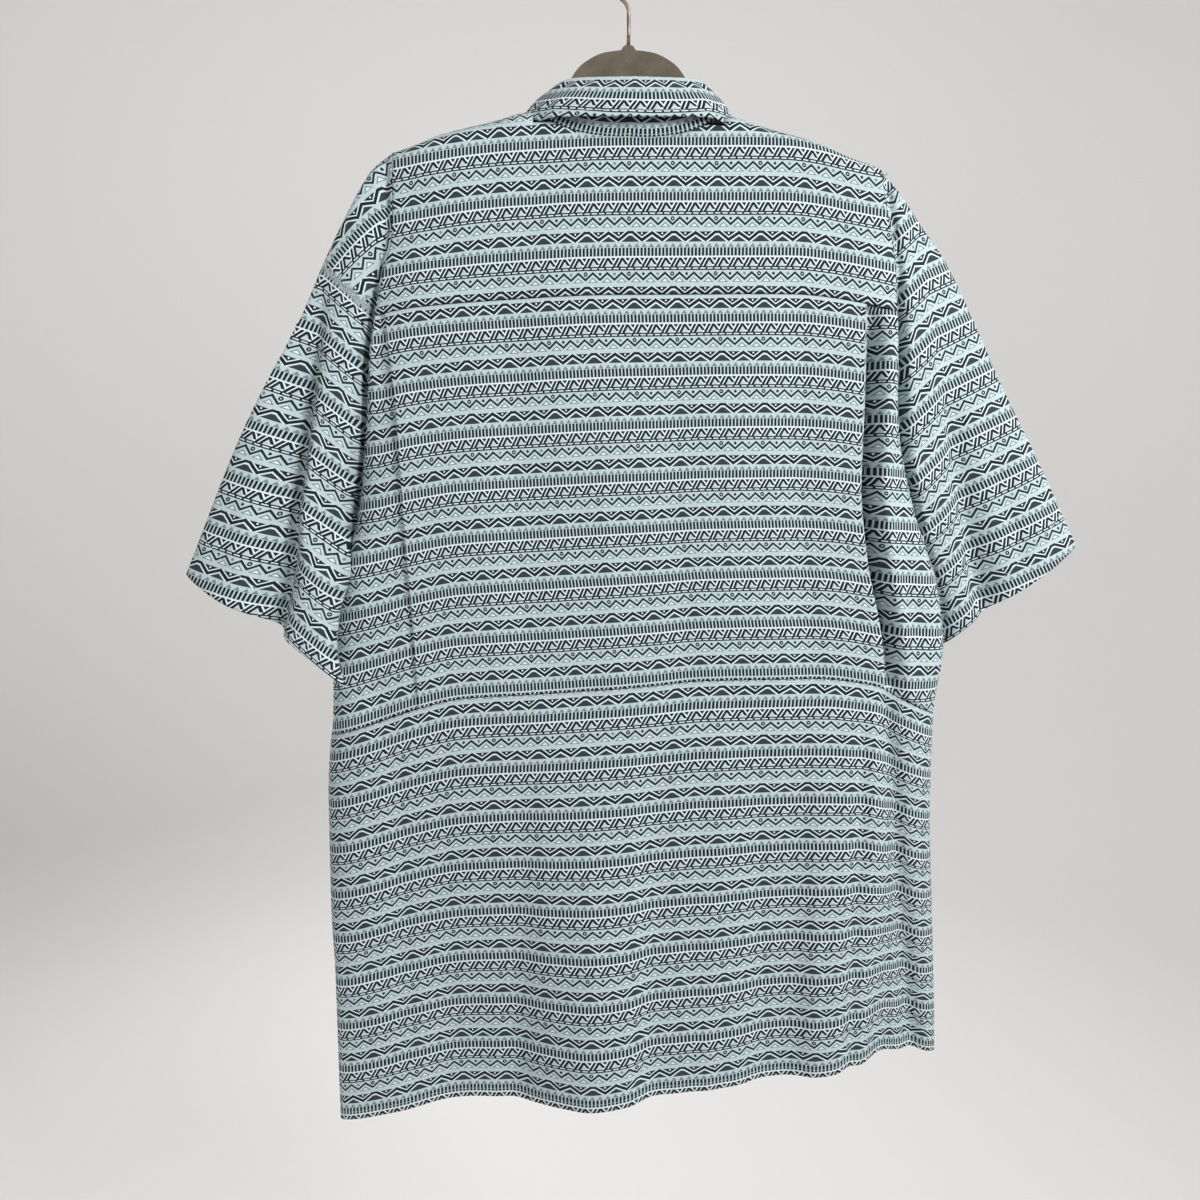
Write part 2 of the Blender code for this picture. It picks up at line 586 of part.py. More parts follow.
def make_collar_stand():
    """The upright band of the collar. Its ends lap at the middle of the front."""
    rows = []
    angles = [-180 + 7.5 * k for k in range(49)]
    angles = [-180 - STAND_OVERLAP_ANGLE] + angles + [180 + STAND_OVERLAP_ANGLE]
    for share in (0.02, 0.35, 0.68, 1.0):
        row = []
        for angle in angles:
            past = abs(angle) > 180
            seam, fold, outward = collar_frame(angle - math.copysign(360, angle) if past else angle)
            up = (fold - seam).normalized()
            low = seam + up * (CLOTH * 0.5 + SEAM_GAP * 3)
            high = fold - up * (LEAF_INNER_LEG + SEAM_GAP * 2)
            point = low.lerp(high, share)
            if angle < 0:
                point += outward * STAND_LAP * ease((abs(angle) - 140) / 25)
            row.append(point)
        rows.append(row)
    return cloth_sheet("collar_stand", rows, (0, -1, 0))


def make_collar_leaf():
    """The turned-down part of the collar: up from the stand, over the fold and down outside."""
    rows = [[] for _ in range(9)]
    angles = [-172.5 + 7.5 * k for k in range(47)]
    for angle in angles:
        seam, fold, outward = collar_frame(angle)
        size = abs(angle)
        sign = -1 if angle < 0 else 1
        up = (fold - seam).normalized()
        across = (outward - up * outward.dot(up)).normalized()
        lap = outward * (STAND_LAP * ease((size - 140) / 25) if angle < 0 else 0)
        edge = Vector((sign * read(LEAF_EDGE, "across", size) + 0.2 * COLLAR_CENTRE,
                       read(LEAF_EDGE, "depth", size), -read(LEAF_EDGE, "drop", size)))
        inner = fold - up * LEAF_INNER_LEG + lap
        crest = fold + lap
        crest -= up * LEAF_FOLD_RADIUS
        path = [inner]
        for k in range(4):
            turn = math.pi * k / 4
            path.append(crest + (across * (1 - math.cos(turn)) + up * math.sin(turn)) * LEAF_FOLD_RADIUS)
        outer_top = crest + across * LEAF_FOLD_RADIUS * 2
        for share in (0.0, 0.33, 0.66, 1.0):
            swell = outward * 0.003 * math.sin(math.pi * share)
            path.append(outer_top.lerp(edge, share) + swell)
        for row, point in zip(rows, path):
            row.append(point)
    return cloth_sheet("collar_leaf", rows, (0, 1, 0))


def turned(name, colour, profile, place, segments):
    """Turns a profile of (radius, height) about a line along Y, for a button."""
    mesh = bpy.data.meshes.new(name)
    mesh.from_pydata([(r, 0, h) for r, h in profile], [(i, i + 1) for i in range(len(profile) - 1)], [])
    piece = finish(name, colour, mesh, roughness=0.35)
    spin = piece.modifiers.new("turned", "SCREW")
    spin.steps = spin.render_steps = segments
    spin.use_merge_vertices = True
    spin.merge_threshold = 0.00002
    piece.location = place
    piece.rotation_euler = (math.radians(-90), 0, 0)
    return piece


def make_buttons():
    """One button on the collar stand and six down the placket."""
    profile = [(0, 1.0), (0.45, 1.0), (0.62, 1.18), (0.85, 1.18), (1.0, 0.8), (0.96, 0.3), (0.8, 0.0), (0, 0.0)]
    rise = BUTTON_THICKNESS / 1.18
    scaled = [(r * BUTTON_RADIUS, h * rise) for r, h in profile]
    seat = CLOTH / 2 + SEAM_GAP
    seam, fold, outward = collar_frame(-180)
    collar_place = seam.lerp(fold, 0.45) + outward * (STAND_LAP + seat + 0.0002)
    turned("button_1", BUTTON_COLOUR, scaled, collar_place + Vector((0, 0.0008, 0)), 12)
    for number, drop in enumerate(FRONT_BUTTON_DROPS, 2):
        highest = max(body_depth(0, drop + step, 1) for step in (-BUTTON_RADIUS, 0, BUTTON_RADIUS))
        depth = highest + CLOTH + SEAM_GAP + seat
        turned(f"button_{number}", BUTTON_COLOUR, scaled, (0, depth, -drop), 12)


def hanger_top(x):
    """Upper edge of the hanger: an arch in the neck, then just under the shoulders' cloth."""
    arch = table("across drop", [
        (0.000, HANGER_CROWN_DROP), (0.020, 0.0872), (0.038, 0.0955), (0.0485, 0.1075), (0.052, 0.1180),
        (0.057, 0.1310), (0.066, 0.1405), (0.085, 0.1440), (0.112, 0.1475)])
    if x < 0.112:
        return read(arch, "drop", x)
    return read(SHOULDER, "drop", x) + CLOTH / 2 + HANGER_CLEARANCE


def make_hanger():
    """The slim flocked hanger, a flat outline with rounded edges."""
    lower = table("across drop", [
        (0.000, 0.1300), (0.050, 0.1440), (0.100, 0.1660), (0.150, 0.1800), (0.185, 0.1905),
        (HANGER_HALF_LENGTH, 0.1900)])
    half = [(BOSS_HALF_WIDTH * 0.5, BOSS_TOP_DROP), (BOSS_HALF_WIDTH, BOSS_TOP_DROP + 0.002)]
    for x in (0.008, 0.020, 0.032, 0.042, 0.0485, 0.052, 0.057, 0.066, 0.080, 0.097, 0.115, 0.140, 0.165, 0.183):
        half.append((x, hanger_top(x)))
    half.append((HANGER_HALF_LENGTH, 0.1790))
    for x in (HANGER_HALF_LENGTH, 0.185, 0.150, 0.100, 0.050):
        half.append((x, read(lower, "drop", x)))
    outline = half + [(0.0, lower["drop"][0])] + [(-x, drop) for x, drop in reversed(half)]
    outline = [(x, drop + SHOULDER_TILT * x * ease((abs(x) - 0.05) / 0.05)) for x, drop in outline]
    flat = bpy.data.curves.new("hanger", "CURVE")
    flat.dimensions = "2D"
    flat.fill_mode = "BOTH"
    flat.extrude = HANGER_THICKNESS / 2 - HANGER_EDGE_RADIUS
    flat.bevel_depth = HANGER_EDGE_RADIUS
    flat.bevel_resolution = 1
    flat.offset = -HANGER_EDGE_RADIUS
    spline = flat.splines.new("POLY")
    spline.points.add(len(outline) - 1)
    for point, (x, drop) in zip(spline.points, outline):
        point.co = (x, -drop, 0, 1)
    spline.use_cyclic_u = True
    piece = bpy.data.objects.new("hanger outline", flat)
    shirt.objects.link(piece)
    piece.rotation_euler = (math.radians(90), 0, 0)
    bpy.context.view_layer.update()
    mesh = bpy.data.meshes.new_from_object(piece.evaluated_get(bpy.context.evaluated_depsgraph_get()))
    mesh.transform(piece.matrix_world)
    bpy.data.objects.remove(piece)
    body = finish("hanger", FLOCK_COLOUR, mesh, roughness=0.95)
    weld = body.modifiers.new("closed caps", "WELD")
    weld.merge_threshold = 0.00005
    return body


def make_hook():
    """The wire hook: a straight stem, a bend to the left, and a round hook over the origin."""
    ring = HOOK_INNER_RADIUS + HOOK_WIRE_RADIUS
    centre = -HOOK_INNER_RADIUS
    start = math.radians(215)
    joint = Vector((ring * math.cos(start), 0, centre + ring * math.sin(start)))
    along = Vector((math.sin(start), 0, -math.cos(start)))
    stem_foot = Vector((0, 0, -BOSS_TOP_DROP + SEAM_GAP))
    bend = [Vector((0, 0, -0.056)), Vector((0, 0, -0.045)), joint - along * 0.009, joint]
    points = [stem_foot, Vector((0, 0, -0.068))]
    for k in range(7):
        t = k / 6
        points.append(bend[0] * (1 - t) ** 3 + bend[1] * 3 * t * (1 - t) ** 2
                      + bend[2] * 3 * t ** 2 * (1 - t) + bend[3] * t ** 3)
    for k in range(1, 19):
        angle = start - math.radians(245) * k / 18
        points.append(Vector((ring * math.cos(angle), 0, centre + ring * math.sin(angle))))
    wire = bpy.data.curves.new("hook", "CURVE")
    wire.dimensions = "3D"
    wire.bevel_depth = HOOK_WIRE_RADIUS
    wire.bevel_resolution = 2
    wire.use_fill_caps = True
    spline = wire.splines.new("POLY")
    spline.points.add(len(points) - 1)
    for point, place in zip(spline.points, points):
        point.co = (*place, 1)
    return finish("hook", HOOK_COLOUR, wire, roughness=0.3, metallic=1.0)


for old in list(bpy.data.objects):
    bpy.data.objects.remove(old)
shirt = bpy.data.collections.new("button_up_shirt")
bpy.context.scene.collection.children.link(shirt)

make_hook()
make_hanger()
make_yoke()
make_upper_back()
make_lower_back()
for front_side in ("left", "right"):
    make_front(front_side)
make_placket()
make_buttons()
make_collar_stand()
make_collar_leaf()
for sleeve_side in ("left", "right"):
    make_sleeve(sleeve_side)
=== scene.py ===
import math
from bisect import bisect_right

import bpy
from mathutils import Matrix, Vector, noise


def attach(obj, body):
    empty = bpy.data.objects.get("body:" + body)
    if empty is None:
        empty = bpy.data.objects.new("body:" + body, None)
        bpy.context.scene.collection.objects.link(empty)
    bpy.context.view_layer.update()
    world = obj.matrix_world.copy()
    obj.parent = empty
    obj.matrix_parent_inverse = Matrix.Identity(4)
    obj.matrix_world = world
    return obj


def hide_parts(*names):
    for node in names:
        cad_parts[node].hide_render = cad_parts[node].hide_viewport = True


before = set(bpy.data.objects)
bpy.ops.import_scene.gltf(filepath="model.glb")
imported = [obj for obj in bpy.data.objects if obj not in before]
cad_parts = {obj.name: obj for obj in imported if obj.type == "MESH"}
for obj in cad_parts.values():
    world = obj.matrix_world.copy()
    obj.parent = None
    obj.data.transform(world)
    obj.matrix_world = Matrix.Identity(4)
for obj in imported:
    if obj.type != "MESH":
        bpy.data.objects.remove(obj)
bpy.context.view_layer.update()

# The photograph was taken from a little above the shirt's middle, level with the yoke, tipped
# slightly down. The shirt hangs by its hook from the origin, so the camera's height is below it.
bpy.ops.object.select_all(action="DESELECT")
bpy.ops.object.camera_add(location=(-0.024, -0.82, -0.443), rotation=(math.radians(90 - 7.8), 0, 0))
camera = bpy.context.object
camera.data.lens = 27.03
bpy.context.scene.camera = camera

# A plain pale studio floor, swept up far away on every side so that no edge shows. It lies as far
# below the hook as a wardrobe rail is above a floor.
floor_radius, sweep_radius, sweep_steps = 2.6, 1.4, 8
bpy.ops.mesh.primitive_circle_add(vertices=96, radius=floor_radius, fill_type="NGON",
                                  location=(0, 0, -1.95))
floor = bpy.context.object
floor.name = "floor"
bpy.ops.object.mode_set(mode="EDIT")
bpy.ops.mesh.select_mode(type="EDGE")
bpy.ops.mesh.select_all(action="SELECT")
for rise in range(1, sweep_steps + 1):
    turned, turned_before = (math.radians(step * 90 / sweep_steps) for step in (rise, rise - 1))
    grow = ((floor_radius + sweep_radius * math.sin(turned))
            / (floor_radius + sweep_radius * math.sin(turned_before)))
    lift = sweep_radius * (math.cos(turned_before) - math.cos(turned))
    if rise == 1:
        bpy.ops.mesh.select_all(action="SELECT")
        bpy.ops.mesh.region_to_loop()
    bpy.ops.mesh.extrude_edges_move(TRANSFORM_OT_translate={"value": (0, 0, lift)})
    bpy.ops.transform.resize(value=(grow, grow, 1), center_override=(0, 0, 0))
bpy.ops.mesh.extrude_edges_move(TRANSFORM_OT_translate={"value": (0, 0, 3.0)})
bpy.ops.mesh.select_all(action="SELECT")
bpy.ops.mesh.normals_make_consistent(inside=True)
bpy.ops.object.mode_set(mode="OBJECT")
bpy.ops.object.shade_smooth_by_angle(angle=math.radians(30))
paint = bpy.data.materials.new("pale floor")
paint.use_nodes = True
shader = paint.node_tree.nodes["Principled BSDF"]
shader.inputs["Base Color"].default_value = (0.74, 0.735, 0.73, 1)
shader.inputs["Roughness"].default_value = 0.9
floor.data.materials.append(paint)

bpy.context.scene.view_settings.view_transform = "Standard"
world = bpy.data.worlds.new("studio air")
bpy.context.scene.world = world
world.use_nodes = True
world.node_tree.nodes["Background"].inputs["Color"].default_value = (1.0, 0.985, 0.97, 1)
world.node_tree.nodes["Background"].inputs["Strength"].default_value = 0.40

# Soft studio light: a large key to the right of the camera that rakes over the folds, a weak fill
# from the left, and one behind for the hidden front.
for light_name, place, aim, size, power in (
        ("key light", (1.35, -1.30, 0.38), (0, 0, -0.6), 0.6, 40),
        ("fill light", (-1.2, -1.9, -0.1), (0, 0, -0.5), 1.5, 8),
        ("front light", (-1.2, 1.8, 0.4), (0, 0, -0.6), 1.2, 30),
        ("wall light", (0, 0.9, 1.6), (0, 4.0, 0.3), 2.5, 46)):
    turn = (Vector(aim) - Vector(place)).to_track_quat("-Z", "Y").to_euler()
    bpy.ops.object.light_add(type="AREA", location=place, rotation=turn)
    lamp = bpy.context.object
    lamp.name = light_name
    lamp.data.size = size
    lamp.data.energy = power


# The hook is bronze-coloured steel wire, bent round at the top and pushed into the hanger's boss.
# It is swept along its line, with a rounded tip.
def node_of(tree, kind, **settings):
    """Adds one shader node and sets its settings."""
    made = tree.nodes.new(kind)
    for key, value in settings.items():
        setattr(made, key, value)
    return made


def finished(piece, node):
    """Puts a finished piece in the place of a solid, riding on the shirt's one body."""
    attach(piece, "root")
    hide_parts(node)


wire_radius = 0.0017
ring_radius = 0.021 + wire_radius
ring_centre = -0.021
hook_start = math.radians(215)
joint = Vector((ring_radius * math.cos(hook_start), 0, ring_centre + ring_radius * math.sin(hook_start)))
leaving = Vector((math.sin(hook_start), 0, -math.cos(hook_start)))
bend = [Vector((0, 0, -0.056)), Vector((0, 0, -0.045)), joint - leaving * 0.009, joint]
line = [Vector((0, 0, -0.0809)), Vector((0, 0, -0.070)), Vector((0, 0, -0.062))]
for k in range(13):
    t = k / 12
    line.append(bend[0] * (1 - t) ** 3 + bend[1] * 3 * t * (1 - t) ** 2 + bend[2] * 3 * t ** 2 * (1 - t)
                + bend[3] * t ** 3)
for k in range(1, 49):
    angle = hook_start - math.radians(245) * k / 48
    line.append(Vector((ring_radius * math.cos(angle), 0, ring_centre + ring_radius * math.sin(angle))))
bpy.ops.object.select_all(action="DESELECT")
bpy.ops.curve.primitive_nurbs_path_add()
hook = bpy.context.object
hook.name = "hook_wire"
hook.data.splines.clear()
spline = hook.data.splines.new("POLY")
spline.points.add(len(line) - 1)
for point, place in zip(spline.points, line):
    point.co = (*place, 1)
spline.points[-1].radius = 0.55
hook.data.bevel_depth = wire_radius
hook.data.bevel_resolution = 5
hook.data.use_fill_caps = True
bpy.ops.object.convert(target="MESH")
hook = bpy.context.object
bpy.ops.object.mode_set(mode="EDIT")
bpy.ops.mesh.select_all(action="SELECT")
bpy.ops.mesh.remove_doubles(threshold=0.00001)
bpy.ops.mesh.normals_make_consistent(inside=False)
bpy.ops.object.mode_set(mode="OBJECT")
bpy.ops.object.shade_smooth()

bronze = bpy.data.materials.new("bronze wire")
bronze.use_nodes = True
tree = bronze.node_tree
shader = tree.nodes["Principled BSDF"]
shader.inputs["Metallic"].default_value = 1.0
here = node_of(tree, "ShaderNodeTexCoord").outputs["Object"]
tarnish = node_of(tree, "ShaderNodeTexNoise")
tarnish.inputs["Scale"].default_value = 160
tarnish.inputs["Detail"].default_value = 5
tree.links.new(here, tarnish.inputs["Vector"])
tone = node_of(tree, "ShaderNodeValToRGB")
tone.color_ramp.elements[0].color = (0.130, 0.095, 0.070, 1)
tone.color_ramp.elements[1].color = (0.360, 0.285, 0.220, 1)
tone.color_ramp.elements[0].position = 0.3
tone.color_ramp.elements[1].position = 0.62
tree.links.new(tarnish.outputs["Fac"], tone.inputs["Fac"])
tree.links.new(tone.outputs["Color"], shader.inputs["Base Color"])
rough = node_of(tree, "ShaderNodeMapRange")
rough.inputs["To Min"].default_value = 0.34
rough.inputs["To Max"].default_value = 0.52
tree.links.new(tarnish.outputs["Fac"], rough.inputs["Value"])
tree.links.new(rough.outputs["Result"], shader.inputs["Roughness"])
drawn = node_of(tree, "ShaderNodeBump")
drawn.inputs["Strength"].default_value = 0.25
drawn.inputs["Distance"].default_value = 0.0002
tree.links.new(tarnish.outputs["Fac"], drawn.inputs["Height"])
tree.links.new(drawn.outputs["Normal"], shader.inputs["Normal"])
hook.data.materials.clear()
hook.data.materials.append(bronze)
finished(hook, "hook")


# The hanger is a slim plastic plate, covered all over in short taupe flock. Its arch stands in the
# collar and its arms slope down inside the shoulders.
def table(names, rows):
    """Turns rows under named columns into one list for each column."""
    return {name: [row[i] for row in rows] for i, name in enumerate(names.split())}


def read(columns, name, at):
    """Reads a smooth curve through a table's first column and the named one, with no overshoot."""
    keys = next(iter(columns.values()))
    values = columns[name]
    at = min(max(at, keys[0]), keys[-1])
    i = min(max(bisect_right(keys, at) - 1, 0), len(keys) - 2)

    def slope(k):
        return (values[k + 1] - values[k]) / (keys[k + 1] - keys[k])

    def tangent(k):
        if k in (0, len(keys) - 1):
            return slope(min(k, len(keys) - 2))
        before, after = slope(k - 1), slope(k)
        return 0.0 if before * after <= 0 else 2 * before * after / (before + after)

    span = keys[i + 1] - keys[i]
    t = (at - keys[i]) / span
    return ((2 * t ** 3 - 3 * t ** 2 + 1) * values[i] + (t ** 3 - 2 * t ** 2 + t) * span * tangent(i)
            + (3 * t ** 2 - 2 * t ** 3) * values[i + 1] + (t ** 3 - t ** 2) * span * tangent(i + 1))


shoulder = table("across drop", [
    (0.000, 0.1340), (0.085, 0.1380), (0.112, 0.1455),
    (0.161, 0.1585), (0.188, 0.1695), (0.213, 0.1770)])
shoulder_tilt = 0.020


def shoulder_drop(x):
    """The shoulder line, a little higher on the left."""
    return read(shoulder, "drop", abs(x)) + shoulder_tilt * x


hanger_upper = table("across drop", [
    (0.000, 0.0847), (0.020, 0.0872), (0.038, 0.0955),
    (0.0485, 0.1075), (0.052, 0.1180), (0.057, 0.1310),
    (0.066, 0.1405), (0.085, 0.1440), (0.112, 0.1475), (0.140, 0.1544), (0.161, 0.1603), (0.188, 0.1713),
    (0.196, 0.1790)])
hanger_lower = table("across drop", [
    (0.000, 0.1300), (0.050, 0.1440), (0.100, 0.1660),
    (0.150, 0.1800), (0.185, 0.1905), (0.196, 0.1900)])
hanger_half_length = 0.196
plate_thickness = 0.0056
bpy.ops.object.select_all(action="DESELECT")
bpy.ops.mesh.primitive_grid_add(x_subdivisions=400, y_subdivisions=8, size=1)
hanger = bpy.context.object
hanger.name = "flocked_hanger"
for vertex in hanger.data.vertices:
    across = math.sin(vertex.co.x * math.pi) * hanger_half_length
    upper = read(hanger_upper, "drop", abs(across)) + 0.0006
    upper -= 0.0036 * max(0.0, 1 - (across / 0.006) ** 4)
    lower = read(hanger_lower, "drop", abs(across)) - 0.0006
    tilt = min(max((abs(across) - 0.05) / 0.05, 0.0), 1.0)
    tilt = shoulder_tilt * across * tilt * tilt * (3 - 2 * tilt)
    vertex.co = (across * 0.996, 0, -(lower + (upper - lower) * (vertex.co.y + 0.5) + tilt))
bpy.ops.object.modifier_add(type="SOLIDIFY")
wall = hanger.modifiers["Solidify"]
wall.thickness = plate_thickness - 0.0002
wall.offset = 0
bpy.ops.object.modifier_apply(modifier="Solidify")
bpy.ops.object.modifier_add(type="BEVEL")
rounding = hanger.modifiers["Bevel"]
rounding.width = 0.0017
rounding.segments = 4
rounding.limit_method = "ANGLE"
rounding.angle_limit = math.radians(60)
bpy.ops.object.modifier_apply(modifier="Bevel")
bpy.ops.object.shade_smooth()

flock = bpy.data.materials.new("taupe flock")
flock.use_nodes = True
tree = flock.node_tree
shader = tree.nodes["Principled BSDF"]
shader.inputs["Roughness"].default_value = 0.95
shader.inputs["Sheen Weight"].default_value = 0.35
shader.inputs["Sheen Roughness"].default_value = 0.4
here = node_of(tree, "ShaderNodeTexCoord").outputs["Object"]
fuzz = node_of(tree, "ShaderNodeTexNoise")
fuzz.inputs["Scale"].default_value = 1900
fuzz.inputs["Detail"].default_value = 3
brushed = node_of(tree, "ShaderNodeTexNoise")
brushed.inputs["Scale"].default_value = 38
brushed.inputs["Detail"].default_value = 4
tree.links.new(here, fuzz.inputs["Vector"])
tree.links.new(here, brushed.inputs["Vector"])
blend = node_of(tree, "ShaderNodeMath", operation="MULTIPLY_ADD")
blend.inputs[1].default_value = 0.5
tree.links.new(fuzz.outputs["Fac"], blend.inputs[0])
half = node_of(tree, "ShaderNodeMath", operation="MULTIPLY")
half.inputs[1].default_value = 0.5
tree.links.new(brushed.outputs["Fac"], half.inputs[0])
tree.links.new(half.outputs[0], blend.inputs[2])
tone = node_of(tree, "ShaderNodeValToRGB")
tone.color_ramp.elements[0].color = (0.072, 0.058, 0.043, 1)
tone.color_ramp.elements[1].color = (0.178, 0.144, 0.110, 1)
tone.color_ramp.elements[0].position = 0.34
tone.color_ramp.elements[1].position = 0.66
tree.links.new(blend.outputs[0], tone.inputs["Fac"])
tree.links.new(tone.outputs["Color"], shader.inputs["Base Color"])
nap = node_of(tree, "ShaderNodeBump")
nap.inputs["Strength"].default_value = 0.6
nap.inputs["Distance"].default_value = 0.0004
tree.links.new(fuzz.outputs["Fac"], nap.inputs["Height"])
tree.links.new(nap.outputs["Normal"], shader.inputs["Normal"])
hanger.data.materials.clear()
hanger.data.materials.append(flock)
finished(hanger, "hanger")


# The yoke is one piece of light printed cotton across the back of the shoulders, carried over them
# to the front. Its neck edge takes the collar, and a row of stitches holds its lower seam.
def mix(a, b, share):
    return a + (b - a) * share


def ease(value):
    """Rises softly from 0 to 1."""
    value = min(max(value, 0.0), 1.0)
    return value * value * (3 - 2 * value)


seam_gap = 0.0003
curved_seam_gap = 0.0007
turn_run = 0.035
neck_half_width = 0.080
neck_back = 0.028
neck_front = 0.101
yoke_front = 0.045
edge_table = table("drop left right turn", [
    (0.172, 0.1985, 0.2115, 20), (0.200, 0.1985, 0.2140, 26), (0.240, 0.2000, 0.2220, 32),
    (0.270, 0.2080, 0.2270, 36), (0.305, 0.2155, 0.2300, 40), (0.340, 0.2215, 0.2320, 45),
    (0.380, 0.2245, 0.2340, 51), (0.415, 0.2290, 0.2390, 59), (0.450, 0.2345, 0.2490, 69),
    (0.472, 0.2395, 0.2570, 78), (0.490, 0.2450, 0.2640, 90), (0.520, 0.2545, 0.2750, 90),
    (0.560, 0.2635, 0.2860, 90), (0.600, 0.2685, 0.2910, 90), (0.655, 0.2705, 0.2860, 90),
    (0.735, 0.2765, 0.2880, 90), (0.845, 0.2770, 0.2970, 90), (0.910, 0.2750, 0.3025, 90),
    (1.000, 0.2745, 0.3090, 90), (1.080, 0.2740, 0.3120, 90)])
depth_table = table("drop back front_side front_middle left_seam right_seam", [
    (0.130, 0.018, 0.016, 0.072, 0.000, 0.000), (0.200, 0.025, 0.026, 0.084, 0.000, 0.000),
    (0.300, 0.030, 0.036, 0.080, 0.000, 0.000), (0.450, 0.034, 0.044, 0.068, 0.000, 0.000),
    (0.520, 0.035, 0.045, 0.064, 0.000, 0.000), (0.650, 0.036, 0.046, 0.058, -0.006, 0.004),
    (0.850, 0.037, 0.044, 0.052, -0.016, 0.009), (1.080, 0.037, 0.036, 0.040, -0.026, 0.012)])
yoke_seam = table("across drop", [
    (-0.2155, 0.3065), (-0.178, 0.3007), (-0.096, 0.2941),
    (0.000, 0.2904), (0.137, 0.2900), (0.232, 0.3030)])
back_hem_wave = table("across depth", [
    (-0.274, -0.033), (-0.220, -0.028), (-0.165, -0.016), (-0.115, -0.022), (-0.060, -0.044),
    (-0.029, -0.053), (0.000, -0.049), (0.026, -0.036),
    (0.050, -0.033), (0.100, -0.028), (0.152, -0.017),
    (0.195, -0.028), (0.225, -0.020), (0.258, 0.004), (0.312, 0.006)])
front_hem_wave = table("across depth", [
    (-0.274, 0.010), (-0.215, 0.030), (-0.150, 0.046), (-0.095, 0.034), (-0.030, 0.042),
    (0.035, 0.046), (0.095, 0.036), (0.155, 0.050), (0.210, 0.040), (0.312, 0.034)])
crease_columns = "x_top drop_top x_bottom drop_bottom half_width depth_top depth_bottom"
back_creases = table(crease_columns, [
    (0.213, 0.645, 0.216, 1.000, 0.008, 0.003, 0.005), (0.231, 0.640, 0.284, 0.990, 0.009, 0.008, 0.011),
    (-0.140, 0.760, -0.235, 0.900, 0.022, 0.000, 0.004)])
front_creases = table(crease_columns, [
    (-0.150, 0.360, -0.120, 0.620, 0.022, 0.003, 0.006),
    (0.165, 0.400, 0.130, 0.700, 0.025, 0.003, 0.006),
    (-0.205, 0.560, -0.180, 0.840, 0.018, 0.002, 0.007),
    (0.215, 0.600, 0.205, 0.900, 0.018, 0.002, 0.007)])
# Small folds of the back and front, on top of the main ones: how far each presses in or stands out.
back_small_folds = table(crease_columns, [
    (-0.100, 0.300, -0.085, 0.600, 0.018, 0.0010, 0.0022),
    (0.040, 0.340, 0.050, 0.620, 0.022, 0.0008, 0.0020),
    (-0.020, 0.420, -0.012, 0.640, 0.012, -0.0008, -0.0012),
    (0.140, 0.300, 0.160, 0.600, 0.016, 0.0008, 0.0022),
    (-0.190, 0.190, -0.130, 0.300, 0.016, 0.0016, 0.0004),
    (0.200, 0.195, 0.150, 0.300, 0.018, 0.0016, 0.0004),
    (-0.060, 0.176, -0.110, 0.280, 0.016, 0.0010, 0.0004),
    (0.070, 0.176, 0.120, 0.280, 0.018, 0.0010, 0.0004),
    (-0.245, 0.560, -0.215, 0.680, 0.014, 0.0030, 0.0010),
    (0.262, 0.545, 0.235, 0.650, 0.012, 0.0030, 0.0010),
    (-0.205, 0.690, -0.212, 0.980, 0.012, 0.0012, 0.0030),
    (-0.090, 0.700, -0.105, 1.020, 0.014, 0.0010, 0.0028),
    (0.020, 0.680, 0.028, 1.010, 0.016, 0.0004, 0.0020),
    (0.085, 0.670, 0.078, 1.000, 0.010, -0.0006, -0.0018),
    (0.120, 0.660, 0.128, 1.000, 0.012, 0.0008, 0.0022),
    (0.175, 0.660, 0.178, 0.990, 0.009, -0.0010, -0.0024)])
front_small_folds = table(crease_columns, [
    (-0.080, 0.300, -0.070, 0.560, 0.016, 0.0010, 0.0020),
    (0.075, 0.300, 0.070, 0.560, 0.016, 0.0010, 0.0020),
    (-0.200, 0.240, -0.150, 0.380, 0.018, 0.0020, 0.0006),
    (0.205, 0.240, 0.150, 0.380, 0.018, 0.0020, 0.0006),
    (-0.050, 0.700, -0.055, 1.040, 0.012, 0.0008, 0.0024),
    (0.060, 0.700, 0.062, 1.030, 0.012, 0.0008, 0.0024),
    (0.110, 0.640, 0.115, 1.000, 0.012, -0.0006, -0.0020),
    (-0.115, 0.640, -0.120, 1.020, 0.012, -0.0006, -0.0020)])


def crease_depth(x, drop, creases):
    """How far the creases press the cloth in at one place, faded at both ends of each."""
    total = 0.0
    for x0, d0, x1, d1, half_width, depth_top, depth_bottom in zip(*creases.values()):
        share = (drop - d0) / (d1 - d0)
        off_line = (x - mix(x0, x1, share)) / half_width
        if abs(off_line) < 3:
            fade = ease((share + 0.15) / 0.3) * ease((1.2 - share) / 0.2)
            total += (mix(depth_top, depth_bottom, min(max(share, 0), 1))
                      * math.exp(-off_line ** 2) * fade)
    return total


def rumple(x, drop, face):
    """Shallow unevenness of worn cotton, long from top to bottom."""
    soft = noise.noise(Vector((x * 16, drop * 5, 3.0 * face)))
    fine = noise.noise(Vector((x * 46, drop * 17, 7.0 * face)))
    return 0.0011 * soft + 0.00035 * fine


